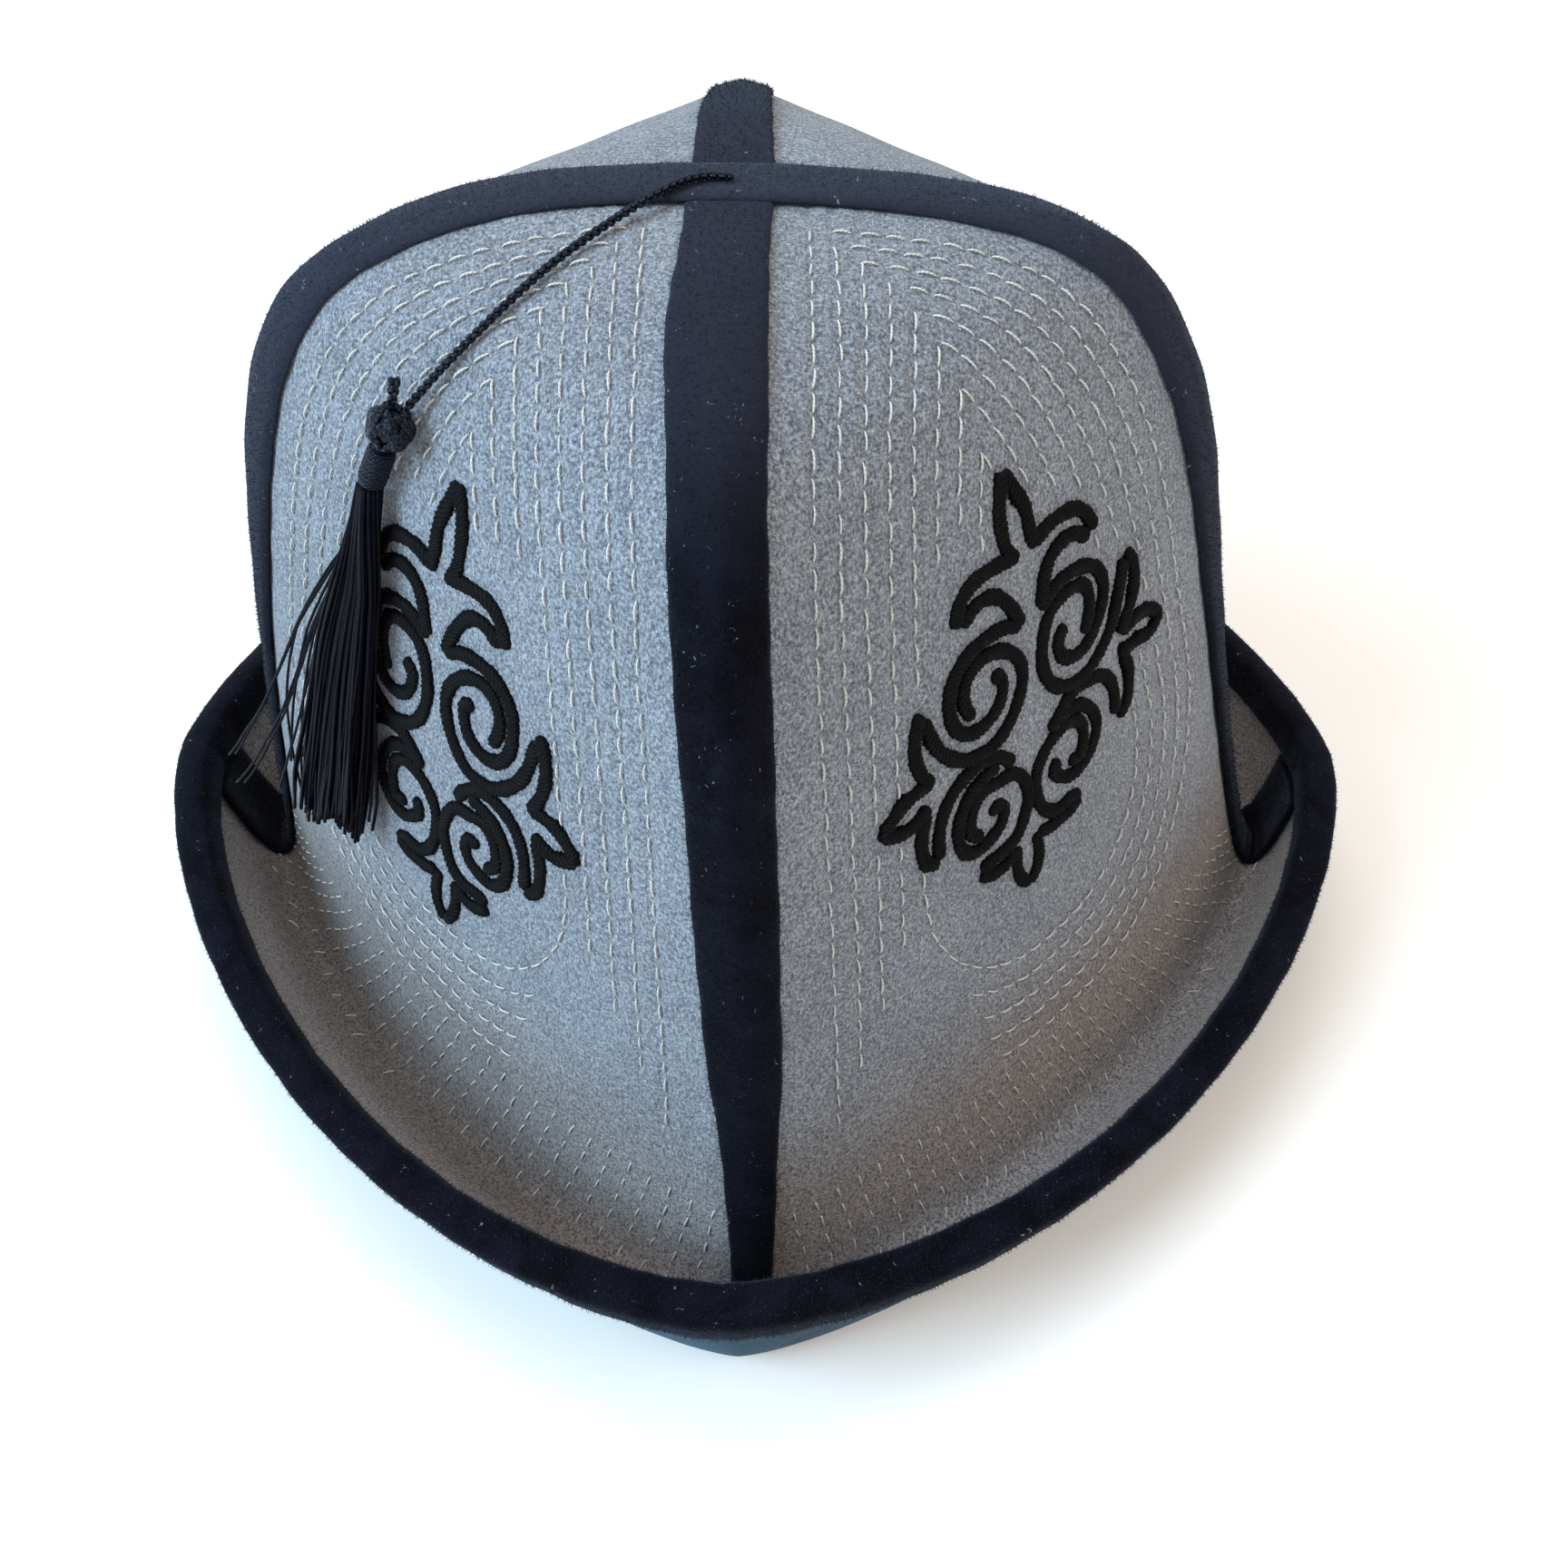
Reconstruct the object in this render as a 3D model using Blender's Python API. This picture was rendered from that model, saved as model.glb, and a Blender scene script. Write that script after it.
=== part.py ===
"""Kalpak, a felt hat: four panels, velvet strips over the seams, a turned-up brim and a tassel.

Metres, +Z up. The hat rests on its fold at Z = 0 and its front looks toward -Y.
"""
import bpy
import numpy as np

for old in list(bpy.data.objects):
    bpy.data.objects.remove(old)

# Driving sizes, in metres
HALF_WIDTH = 0.104      # from the middle to a side seam, half way down the crown
HEIGHT = 0.1728         # show face of the felt at the apex
FELT = 0.0025           # felt wall
VELVET = 0.0012         # one layer of velvet
GAP = 0.0003            # between neighbouring pieces
STRIP_HALF = 0.0080     # half the width of a seam strip, seen from above
BINDING_DEPTH = 0.0095  # how far the rim binding reaches down the inner face of the brim
FRONT_RISE = 0.0023     # rim at the front seam above the rim at the side seams
MIDDLE_DIP = 0.0071     # rim at the middle of a panel below the rim at the side seams
BACK_RISE = 0.0125      # rim at the back seam above the rim at the front seam
CENTRE_SHIFT = (0.0009, -0.0018)   # brings the middle of the rim over the origin

# Sections, one row each, from the apex to the rim.
# left, right, front, back and sway are shares of HALF_WIDTH, height is a share of HEIGHT.
# corner is the exponent of the section: 1 is a diamond with its corners on the seams, 2 an ellipse.
# brim is the share of the rim's rise and dip, and the last two are shares of STRIP_HALF.
COLUMNS = ("left", "right", "front", "back", "height", "corner", "sway", "brim",
           "side_strip", "front_strip")
SECTIONS = np.array((
    (0.000, 0.000, 0.000, 0.000, 1.000, 1.02, -0.037, 0.00, 0.78, 0.86),  # apex
    (0.290, 0.281, 0.271, 0.271, 0.997, 1.02, -0.042, 0.00, 0.80, 0.86),  # top
    (0.543, 0.566, 0.518, 0.518, 0.968, 1.02, -0.040, 0.00, 0.93, 0.88),  # edge of the top
    (0.748, 0.722, 0.713, 0.713, 0.899, 1.03, -0.036, 0.00, 1.00, 0.91),  # shoulder
    (0.884, 0.832, 0.843, 0.843, 0.772, 1.05, -0.027, 0.00, 1.03, 0.98),  # below the shoulder
    (0.969, 0.900, 0.925, 0.925, 0.613, 1.10, -0.014, 0.00, 1.03, 1.00),  # upper wall
    (1.037, 0.967, 0.997, 0.997, 0.437, 1.17, -0.003, 0.00, 1.03, 0.98),  # middle of the wall
    (1.093, 1.045, 1.070, 1.070, 0.249, 1.24, 0.006, 0.00, 1.03, 0.84),   # lower wall
    (1.126, 1.118, 1.131, 1.131, 0.098, 1.31, 0.008, 0.00, 1.06, 0.72),   # start of the fold
    (1.140, 1.160, 1.163, 1.163, 0.0405, 1.35, 0.003, 0.00, 1.09, 0.62),  # inner side of the fold
    (1.163, 1.206, 1.206, 1.206, 0.0232, 1.36, -0.009, 0.00, 1.09, 0.57),  # bottom of the fold
    (1.190, 1.244, 1.238, 1.245, 0.0463, 1.44, -0.019, 0.12, 1.05, 0.54),  # foot of the brim
    (1.226, 1.293, 1.279, 1.313, 0.2037, 1.62, -0.042, 1.00, 0.98, 0.50),  # rim
))
RIM = len(SECTIONS) - 1
FINE_STEPS = 40         # steps of the smooth curve between two rows
TOP_ROWS = 5            # rows whose surface can be read as a height over the plan


def smooth_through(knots, values, at):
    """Natural cubic curve through the values at the knots, read at other places."""
    step = np.diff(knots)
    slope = np.diff(values) / step
    system = np.eye(len(knots))
    side = np.zeros(len(knots))
    for i in range(1, len(knots) - 1):
        system[i, i - 1:i + 2] = step[i - 1], 2 * (step[i - 1] + step[i]), step[i]
        side[i] = 6 * (slope[i] - slope[i - 1])
    bend = np.linalg.solve(system, side)
    i = np.clip(np.searchsorted(knots, at) - 1, 0, len(step) - 1)
    t = at - knots[i]
    first = slope[i] - step[i] * (2 * bend[i] + bend[i + 1]) / 6
    third = (bend[i + 1] - bend[i]) / (6 * step[i])
    return values[i] + t * first + t ** 2 * bend[i] / 2 + t ** 3 * third


def fine_rows():
    """The table's columns in metres on a fine scale of places: 0 is the apex, RIM the rim."""
    table = dict(zip(COLUMNS, SECTIONS.T))
    across = table["front"] * HALF_WIDTH
    chord = np.hypot(np.diff(across), np.diff(table["height"] * HEIGHT))
    knots = np.append(0, np.cumsum(np.sqrt(chord)))
    places = np.linspace(0, RIM, RIM * FINE_STEPS + 1)
    at = np.interp(places, np.arange(RIM + 1), knots)
    rows = {name: smooth_through(knots, column, at) for name, column in table.items()}
    rows["brim"] = np.interp(places, np.arange(RIM + 1), table["brim"])
    for name in ("left", "right", "front", "back", "sway"):
        rows[name] = rows[name] * HALF_WIDTH
    rows["height"] = rows["height"] * HEIGHT
    for name in ("side_strip", "front_strip"):
        rows[name] = rows[name] * STRIP_HALF
    # How far the middle of a panel lies out, as a share of the corner radius
    rows["middle"] = 2 ** (0.5 - 1 / rows["corner"])
    mean = (rows["left"] + rows["right"] + rows["front"] + rows["back"]) / 4
    out = np.gradient(rows["middle"] * mean)
    down = np.gradient(rows["height"])
    length = np.hypot(out, down)
    rows["along_out"] = out / length
    rows["along_up"] = down / length
    path = np.append(0, np.cumsum(np.hypot(np.diff(rows["middle"] * mean),
                                           np.diff(rows["height"]))))
    rows["to_rim"] = path[-1] - path
    rows["place"] = places
    return rows


ROWS = fine_rows()


def row_value(name, place):
    return np.interp(place, ROWS["place"], ROWS[name])


def place_at(to_rim):
    """The place on the profile that lies this far down from the rim."""
    return np.interp(-to_rim, -ROWS["to_rim"], ROWS["place"])


def section_at(place, lift=0.0, beyond=0.0):
    """The section at a place, lifted off the show face and moved on along the profile."""
    along_out = row_value("along_out", place)
    along_up = row_value("along_up", place)
    out = (beyond * along_out - lift * along_up) / row_value("middle", place)
    section = {name: row_value(name, place) + out for name in ("left", "right", "front", "back")}
    section["height"] = row_value("height", place) + lift * along_out + beyond * along_up
    for name in ("corner", "sway", "brim"):
        section[name] = row_value(name, place)
    return section


def rim_rise(section, back, sine):
    """Height that the brim gains between the side seam, where sine is 0, and the next seam."""
    square = sine ** 2
    rise = FRONT_RISE * square + back * BACK_RISE * square
    return section["brim"] * (rise - MIDDLE_DIP * 4 * square * (1 - square))


def placed(x, y, z):
    return np.stack(np.broadcast_arrays(x + CENTRE_SHIFT[0], y + CENTRE_SHIFT[1], z), -1)


def felt_point(place, angle, lift=0.0, beyond=0.0):
    """Point over the show face. Angle 0 is the right seam, pi / 2 the back seam."""
    section = section_at(place, lift, beyond)
    cosine, sine = np.cos(angle), np.sin(angle)
    power = 2 / section["corner"]
    across = np.where(cosine > 0, section["right"], section["left"])
    deep = np.where(sine > 0, section["back"], section["front"])
    x = np.sign(cosine) * across * np.abs(cosine) ** power + section["sway"]
    y = np.sign(sine) * deep * np.abs(sine) ** power
    z = section["height"] + rim_rise(section, sine > 0, sine)
    return placed(x, y, z)


TOP = np.arange(1, TOP_ROWS * FINE_STEPS)


def top_height(x, y, lift):
    """Height of the lifted show face over a point of the crown's top."""
    section = section_at(ROWS["place"][TOP], lift)
    across = np.where(x > section["sway"], section["right"], section["left"])
    deep = section["back"] if y > 0 else section["front"]
    outside = (np.abs(x - section["sway"]) / np.maximum(across, GAP)) ** section["corner"]
    outside = outside + (np.abs(y) / np.maximum(deep, GAP)) ** section["corner"]
    last = np.argmax(outside < 1)
    if last == 0:
        return section["height"][0]
    share = (outside[last - 1] - 1) / (outside[last - 1] - outside[last])
    heights = section["height"]
    return heights[last - 1] + share * (heights[last] - heights[last - 1])


# Across each seam: the direction out along it, then the sides met at negative and positive across
SEAMS = {
    "right": (0, 1, "front", "back"),
    "left": (0, -1, "front", "back"),
    "front": (1, -1, "left", "right"),
    "back": (1, 1, "left", "right"),
}
LEVEL_REACH = 0.020     # up to here from the apex a strip's rows cross it straight
TURNED_REACH = 0.060    # from here on they follow the sections


def seam_point(seam, place, across, lift):
    """Point over the show face beside a seam, at a distance across it seen from above."""
    axis, sign, low_side, high_side = SEAMS[seam]
    section = section_at(place, lift)
    reach = float(section[seam])
    width = float(section[high_side if across > 0 else low_side])
    share = min(abs(across) / max(width, GAP), 1.0)
    out = reach * (1 - share ** float(section["corner"])) ** (1 / float(section["corner"]))
    turned = np.clip((reach - LEVEL_REACH) / (TURNED_REACH - LEVEL_REACH), 0, 1)
    out = reach + turned * (out - reach)
    plan = [0.0, 0.0]
    plan[axis] = sign * out
    plan[1 - axis] = across
    plan[0] += float(section["sway"])
    if turned < 1:
        return placed(plan[0], plan[1], top_height(plan[0], plan[1], lift))
    square = share ** float(section["corner"])
    square = square if axis == 0 else 1 - square
    back = seam == "back" or (axis == 0 and across > 0)
    height = section["height"] + rim_rise(section, back, np.sqrt(square))
    return placed(plan[0], plan[1], height)


def material(name, colour, roughness, sheen):
    made = bpy.data.materials.new(name)
    made.use_nodes = True
    shader = made.node_tree.nodes["Principled BSDF"]
    shader.inputs["Base Color"].default_value = (*colour, 1)
    shader.inputs["Roughness"].default_value = roughness
    shader.inputs["Sheen Weight"].default_value = sheen
    return made


def solid(name, points, faces, made_of):
    """A closed mesh object, with its faces turned outward."""
    points = np.asarray(points, float)
    corners = [(face[0], face[i], face[i + 1]) for face in faces for i in range(1, len(face) - 1)]
    a, b, c = (points[[corner[k] for corner in corners]] for k in range(3))
    if (np.cross(a, b) * c).sum() < 0:
        faces = [tuple(reversed(face)) for face in faces]
    mesh = bpy.data.meshes.new(name)
    mesh.from_pydata([tuple(point) for point in points], [], faces)
    mesh.update()
    mesh.materials.append(made_of)
    node = bpy.data.objects.new(name, mesh)
    bpy.context.scene.collection.objects.link(node)
    return node


def sheet(name, show, under, made_of):
    """A solid between two grids of points with the same rows and columns."""
    rows, columns = show.shape[:2]
    count = rows * columns
    points = np.concatenate([show.reshape(-1, 3), under.reshape(-1, 3)])
    faces = []
    for i in range(rows - 1):
        for j in range(columns - 1):
            a = i * columns + j
            quad = (a, a + 1, a + columns + 1, a + columns)
            faces.append(quad)
            faces.append(tuple(count + corner for corner in reversed(quad)))
    edge = list(range(columns))
    edge += [i * columns + columns - 1 for i in range(1, rows)]
    edge += [(rows - 1) * columns + j for j in range(columns - 2, -1, -1)]
    edge += [i * columns for i in range(rows - 2, 0, -1)]
    for first, second in zip(edge, edge[1:] + edge[:1]):
        faces.append((second, first, count + first, count + second))
    return solid(name, points, faces, made_of)


def tube(name, loops, made_of, closed):
    """A solid from loops of points with the same count, joined in a ring or capped at both ends."""
    loops = np.asarray(loops, float)
    count, around = loops.shape[:2]
    faces = []
    for i in range(count if closed else count - 1):
        for j in range(around):
            a, b = i * around + j, i * around + (j + 1) % around
            c, d = ((i + 1) % count) * around + (j + 1) % around, ((i + 1) % count) * around + j
            faces.append((a, b, c, d))
    if not closed:
        faces.append(tuple(reversed(range(around))))
        faces.append(tuple(range((count - 1) * around, count * around)))
    return solid(name, loops.reshape(-1, 3), faces, made_of)


# Felt panels, each in one piece from the apex to the rim
PANEL_START = 0.12      # place where a panel's tip is cut off, under the strips
PANEL_STEPS = 12        # across a panel
PLACES = np.array((PANEL_START, 0.5, 1, 1.5, 2, 2.5, 3, 3.5, 4, 4.5, 5, 5.5, 6, 7, 7.5, 8, 8.5,
                   9, 9.4, 9.8, 10.2, 10.6, 11, 11.5, 12))
QUADRANTS = {
    "panel_back_right": (0.0, "right", "back"),
    "panel_back_left": (np.pi / 2, "back", "left"),
    "panel_front_left": (np.pi, "left", "front"),
    "panel_front_right": (1.5 * np.pi, "front", "right"),
}
felt = material("felt", (0.30, 0.33, 0.36), 0.95, 0.3)


def edge_angle(section, side):
    """Angle from a seam at which the section lies half a gap off the seam's plane."""
    share = GAP / 2 / np.maximum(section[side], GAP)
    return np.arcsin(share ** (section["corner"] / 2))


for name, (start, first, second) in QUADRANTS.items():
    show, under = [], []
    for place in PLACES:
        section = section_at(place)
        low = edge_angle(section, second)
        high = np.pi / 2 - edge_angle(section, first)
        angles = start + np.linspace(low, high, PANEL_STEPS + 1)
        show.append(felt_point(place, angles))
        under.append(felt_point(place, angles, -FELT))
    sheet(name, np.array(show), np.array(under), felt)


# Brim facing, from inside the crown round the fold and up to the rim
FACING_START = 8.5      # place inside the crown where the facing ends
REST = (9.8, 10.2)      # the facing is flat underneath between these places, and the hat rests there
RING_ANGLES = np.linspace(0, 2 * np.pi, 4 * PANEL_STEPS, endpoint=False)
facing_velvet = material("facing_velvet", (0.03, 0.06, 0.09), 0.9, 0.6)
facing_show = -(FELT + GAP)
facing_under = facing_show - VELVET
facing_places = PLACES[PLACES >= FACING_START]
facing_section = [(place, facing_show) for place in facing_places]
facing_section += [(place, facing_under) for place in facing_places[::-1]]
loops = []
for angle in RING_ANGLES:
    loop = np.array([felt_point(place, angle, lift) for place, lift in facing_section])
    resting = [place in REST and lift == facing_under for place, lift in facing_section]
    loop[resting, 2] = 0.0
    loops.append(loop)
tube("brim_facing", loops, facing_velvet, True)


# Rim binding, a folded velvet edge with a soft roll
ROLL = 0.0018           # how far the roll stands beyond the edge of the felt
PUFF = 0.0016           # thickness of the rolled velvet on each face
binding_velvet = material("binding_velvet", (0.012, 0.013, 0.02), 0.9, 0.6)
brim_back = facing_under - GAP
OUTER_DEPTH = 0.0085    # how far the binding reaches down the outer face
# How far down from the rim, and the lift off the show face, round the section
binding_section = [
    (BINDING_DEPTH, GAP), (BINDING_DEPTH / 2, GAP), (-GAP, GAP),
    (-GAP, brim_back), (OUTER_DEPTH / 2, brim_back), (OUTER_DEPTH, brim_back),
    (OUTER_DEPTH, brim_back - 0.5 * PUFF), (OUTER_DEPTH - 0.0010, brim_back - PUFF),
    (OUTER_DEPTH / 2, brim_back - PUFF), (0.0005, brim_back - PUFF),
    (-0.75 * ROLL, brim_back - 0.3 * PUFF), (-ROLL, brim_back / 2),
    (-0.75 * ROLL, 0.3 * PUFF + GAP), (0.0005, PUFF + GAP),
    (BINDING_DEPTH / 2, PUFF + GAP), (BINDING_DEPTH - 0.0010, PUFF), (BINDING_DEPTH, 0.5 * PUFF),
]
loops = []
for angle in RING_ANGLES:
    loop = []
    for down, lift in binding_section:
        loop.append(felt_point(place_at(max(down, 0.0)), angle, lift, max(-down, 0.0)))
    loops.append(loop)
tube("rim_binding", loops, binding_velvet, True)


# Seam strips of velvet
STRIP_STATIONS = (-1.0, -0.55, 0.0, 0.55, 1.0)   # across a strip, as shares of its half width
STRIP_RISE = (0.7, 1.0, 1.0, 1.0, 0.7)           # its thickness there, as a share of VELVET
BRIM_EASE = 0.0005      # extra gap under a strip at the rim, where the felt is hollow across
strip_velvet = material("strip_velvet", (0.012, 0.013, 0.02), 0.9, 0.6)
strip_end = place_at(BINDING_DEPTH + GAP)


def strip_loop(seam, place, width_name):
    half = float(row_value(width_name, place))
    stations = [station * half for station in STRIP_STATIONS]
    base = GAP + BRIM_EASE * float(row_value("brim", place))
    top = [seam_point(seam, place, across, base + rise * VELVET)
           for across, rise in zip(stations, STRIP_RISE)]
    bottom = [seam_point(seam, place, across, base) for across in stations]
    return top + bottom[::-1]


NEAR_APEX = 0.02        # place of the side strip's middle loop
strip_places = [place for place in PLACES if PANEL_START < place < strip_end]
strip_places.append(strip_end)
side_loops = [strip_loop("left", place, "side_strip") for place in strip_places[::-1]]
side_loops.append(strip_loop("right", NEAR_APEX, "side_strip"))
side_loops += [strip_loop("right", place, "side_strip") for place in strip_places]
tube("seam_strip_sides", side_loops, strip_velvet, False)

crossing = STRIP_HALF * SECTIONS[0][COLUMNS.index("side_strip")] + GAP
for seam in ("front", "back"):
    first_place = float(np.interp(crossing, ROWS[seam][:FINE_STEPS], ROWS["place"][:FINE_STEPS]))
    places = [first_place] + [place for place in strip_places if place > first_place + 0.2]
    loops = [strip_loop(seam, place, "front_strip") for place in places]
    tube("seam_strip_" + seam, loops, strip_velvet, False)


# Tassel. Each row is a place, an angle in quarter turns and a lift in metres off the show face.
CORD_RADIUS = 0.0008
CORD_ON_FELT = GAP + CORD_RADIUS
CORD_ON_STRIP = GAP + VELVET + CORD_ON_FELT
CORD_STEP = 0.0038      # between the points of the cord's curve
CORD_ROUTE = (
    (0.05, 2.95, CORD_ON_STRIP),    # apex, where the cord comes out between the strips
    (0.20, 2.33, CORD_ON_STRIP),
    (0.44, 2.40, CORD_ON_STRIP),    # front edge of the side strip
    (0.80, 2.44, 0.5 * (CORD_ON_FELT + CORD_ON_STRIP)),
    (1.25, 2.457, CORD_ON_FELT),
    (1.79, 2.464, CORD_ON_FELT),
    (2.46, 2.458, CORD_ON_FELT),
    (2.95, 2.442, 1.3 * CORD_ON_FELT),
)
KNOT_RADIUS = 0.0041
KNOT_AT = (3.42, 2.430, KNOT_RADIUS + GAP)
NECK_RADIUS = 0.0025
NECK_LENGTH = 0.0085
SKIRT_LENGTH = 0.078
SKIRT_ROUTE = (
    (3.862, 2.411, 0.0034),
    (4.427, 2.414, 0.0045),
    (4.905, 2.408, 0.0053),
    (5.811, 2.400, 0.0066),
    (6.581, 2.383, 0.0071),  # free end
)
# Down the skirt, one row per loop. share is the loop's place on SKIRT_LENGTH, half and thick are
# half its width and thickness, and locks is the depth of the grooves between the locks.
# share, half, thick, locks
SKIRT_LOOPS = (
    (0.00, 0.0023, 0.0022, 0.04),
    (0.08, 0.0029, 0.0026, 0.10),
    (0.24, 0.0046, 0.0032, 0.14),
    (0.44, 0.0068, 0.0037, 0.17),
    (0.68, 0.0082, 0.0041, 0.20),
    (0.88, 0.0090, 0.0042, 0.22),
    (1.00, 0.0088, 0.0034, 0.22),
)
LOCKS = 9               # locks counted round the skirt
POINTS_PER_LOCK = 4
LOCK_UNEVEN = 0.0030    # how much the ends of the locks differ
UNEVEN_TURN = 2.4       # radians from one lock's length to the next one's, on a sine
SKIRT_TILT = np.radians(34)     # the left edge of the skirt stands off the felt
TILT_SHARE = 0.25       # share of the skirt over which it turns that far
FREE_SHARE = 0.8        # share of the skirt where the locks' ends begin to differ


def on_felt(row):
    place, turn, lift = row
    return felt_point(place, turn * np.pi / 2, lift)


def unit(vector):
    return vector / np.linalg.norm(vector)


def smooth_route(points, count):
    """Points at even steps along a smooth curve through a few points."""
    points = np.array(points)
    knots = np.append(0, np.cumsum(np.linalg.norm(np.diff(points, axis=0), axis=1)))
    at = np.linspace(0, knots[-1], count)
    return np.stack([smooth_through(knots, points[:, k], at) for k in range(3)], 1)


tassel_thread = material("tassel_thread", (0.012, 0.013, 0.018), 0.55, 0.2)
knot_centre = on_felt(KNOT_AT)
skirt_points = [on_felt(row) for row in SKIRT_ROUTE]
skirt_axis = unit(skirt_points[0] - knot_centre)

# Cord, from the apex to the knot
route = [on_felt(row) for row in CORD_ROUTE]
route.append(knot_centre + (KNOT_RADIUS + GAP) * unit(route[-1] - knot_centre))
cord_length = np.linalg.norm(np.diff(route, axis=0), axis=1).sum()
cord_points = smooth_route(route, int(cord_length / CORD_STEP) + 1)
curve = bpy.data.curves.new("tassel_cord", "CURVE")
curve.dimensions = "3D"
curve.bevel_depth = CORD_RADIUS
curve.bevel_resolution = 2
curve.use_fill_caps = True
spline = curve.splines.new("POLY")
spline.points.add(len(cord_points) - 1)
for target, point in zip(spline.points, cord_points):
    target.co = (*point, 1)
curve.materials.append(tassel_thread)
cord = bpy.data.objects.new("tassel_cord", curve)
bpy.context.scene.collection.objects.link(cord)


def frame_along(axis):
    """Two directions square to an axis, the first one level."""
    level = unit(np.cross(axis, (0.0, 0.0, 1.0)))
    return level, np.cross(axis, level)


def turned_solid(name, centre, axis, profile, around, made_of):
    """A solid of revolution: the profile's rows are a distance along the axis and a radius."""
    level, other = frame_along(axis)
    angles = np.linspace(0, 2 * np.pi, around, endpoint=False)[:, None]
    loops = []
    for along, radius in profile:
        round_axis = radius * (np.cos(angles) * level + np.sin(angles) * other)
        loops.append(centre + along * axis + round_axis)
    return tube(name, loops, made_of, False)


# Knot, a ball with its poles on the tassel's axis
KNOT_CAP = 0.12         # radians from a pole to the flat there
polar = np.linspace(KNOT_CAP, np.pi - KNOT_CAP, 9)
ball = [(-KNOT_RADIUS * np.cos(angle), KNOT_RADIUS * np.sin(angle)) for angle in polar]
turned_solid("tassel_knot", knot_centre, skirt_axis, ball, 14, tassel_thread)

# Tail, the short end of the cord above the knot
TAIL_LENGTH = 0.0040
TAIL_LEAN = (0.10, 0.35, 1.0)
tail_axis = unit(np.array(TAIL_LEAN) - 0.6 * skirt_axis)
tail = [
    (0.0, 0.85 * CORD_RADIUS),
    (0.3 * TAIL_LENGTH, CORD_RADIUS),
    (0.8 * TAIL_LENGTH, 1.4 * CORD_RADIUS),
    (TAIL_LENGTH, 1.1 * CORD_RADIUS),
]
tail_foot = knot_centre + (KNOT_RADIUS + GAP) * tail_axis
turned_solid("tassel_tail", tail_foot, tail_axis, tail, 8, tassel_thread)

# Neck, thread wound round the top of the skirt
neck_start = KNOT_RADIUS + GAP
neck = [
    (0.0, 0.84 * NECK_RADIUS),
    (0.12 * NECK_LENGTH, NECK_RADIUS),
    (0.88 * NECK_LENGTH, NECK_RADIUS),
    (NECK_LENGTH, 0.88 * NECK_RADIUS),
]
neck_foot = knot_centre + neck_start * skirt_axis
turned_solid("tassel_neck", neck_foot, skirt_axis, neck, 14, tassel_thread)

# Skirt, locks fused into one bundle
skirt_top = knot_centre + (neck_start + NECK_LENGTH + GAP) * skirt_axis
centres = smooth_route([skirt_top] + skirt_points[1:], 60)
walked = np.append(0, np.cumsum(np.linalg.norm(np.diff(centres, axis=0), axis=1)))
middle_place, middle_turn, _ = SKIRT_ROUTE[2]
outward = unit(skirt_points[2] - on_felt((middle_place, middle_turn, 0.0)))
round_angles = np.linspace(0, 2 * np.pi, LOCKS * POINTS_PER_LOCK, endpoint=False)
lock_number = np.floor(round_angles / (2 * np.pi) * LOCKS + 0.5) % LOCKS
loops = []
for share, half, thick, locks in SKIRT_LOOPS:
    at = share * SKIRT_LENGTH
    centre = np.array([np.interp(at, walked, centres[:, k]) for k in range(3)])
    ahead = np.array([np.interp(at + CORD_STEP, walked, centres[:, k]) for k in range(3)])
    behind = np.array([np.interp(at - CORD_STEP, walked, centres[:, k]) for k in range(3)])
    axis = unit(ahead - behind) if share > 0 else skirt_axis
    across = unit(np.cross(axis, outward))
    tilt = SKIRT_TILT * min(share / TILT_SHARE, 1.0)
    normal = np.cross(across, axis)
    across, normal = (np.cos(tilt) * across + np.sin(tilt) * normal,
                      np.cos(tilt) * normal - np.sin(tilt) * across)
    lobes = 1 - locks * (0.5 - 0.5 * np.cos(LOCKS * round_angles))
    loop = centre + (half * lobes * np.cos(round_angles))[:, None] * across
    loop = loop + (thick * lobes * np.sin(round_angles))[:, None] * normal
    if share > FREE_SHARE:
        uneven = LOCK_UNEVEN * np.sin(lock_number * UNEVEN_TURN)
        loop = loop + uneven[:, None] * axis * (share - FREE_SHARE) / (1 - FREE_SHARE)
    loops.append(loop)
tube("tassel_skirt", loops, tassel_thread, False)
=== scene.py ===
"""Looks of the kalpak: wool felt, velvet, sewing, raised ornament and a thread tassel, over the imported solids.

Metres, +Z up. The hat rests on its fold at Z = 0 and its front looks toward -Y.
"""
import math

import bpy
import numpy as np
from mathutils import Matrix, Vector


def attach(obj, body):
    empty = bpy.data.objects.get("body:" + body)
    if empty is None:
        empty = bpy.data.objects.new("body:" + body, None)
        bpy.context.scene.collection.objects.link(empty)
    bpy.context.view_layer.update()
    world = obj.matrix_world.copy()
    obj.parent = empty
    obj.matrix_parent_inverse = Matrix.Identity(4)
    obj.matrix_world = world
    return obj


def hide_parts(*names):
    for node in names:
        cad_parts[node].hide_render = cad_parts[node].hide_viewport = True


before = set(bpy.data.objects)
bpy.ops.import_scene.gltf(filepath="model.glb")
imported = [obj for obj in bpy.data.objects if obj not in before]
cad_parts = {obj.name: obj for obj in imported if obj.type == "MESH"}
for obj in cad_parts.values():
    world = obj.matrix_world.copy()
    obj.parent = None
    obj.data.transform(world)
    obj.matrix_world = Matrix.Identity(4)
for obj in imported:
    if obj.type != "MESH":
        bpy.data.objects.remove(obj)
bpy.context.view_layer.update()        # frame["bodies"], ["nodes"], ["joints"], ["record"]


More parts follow.
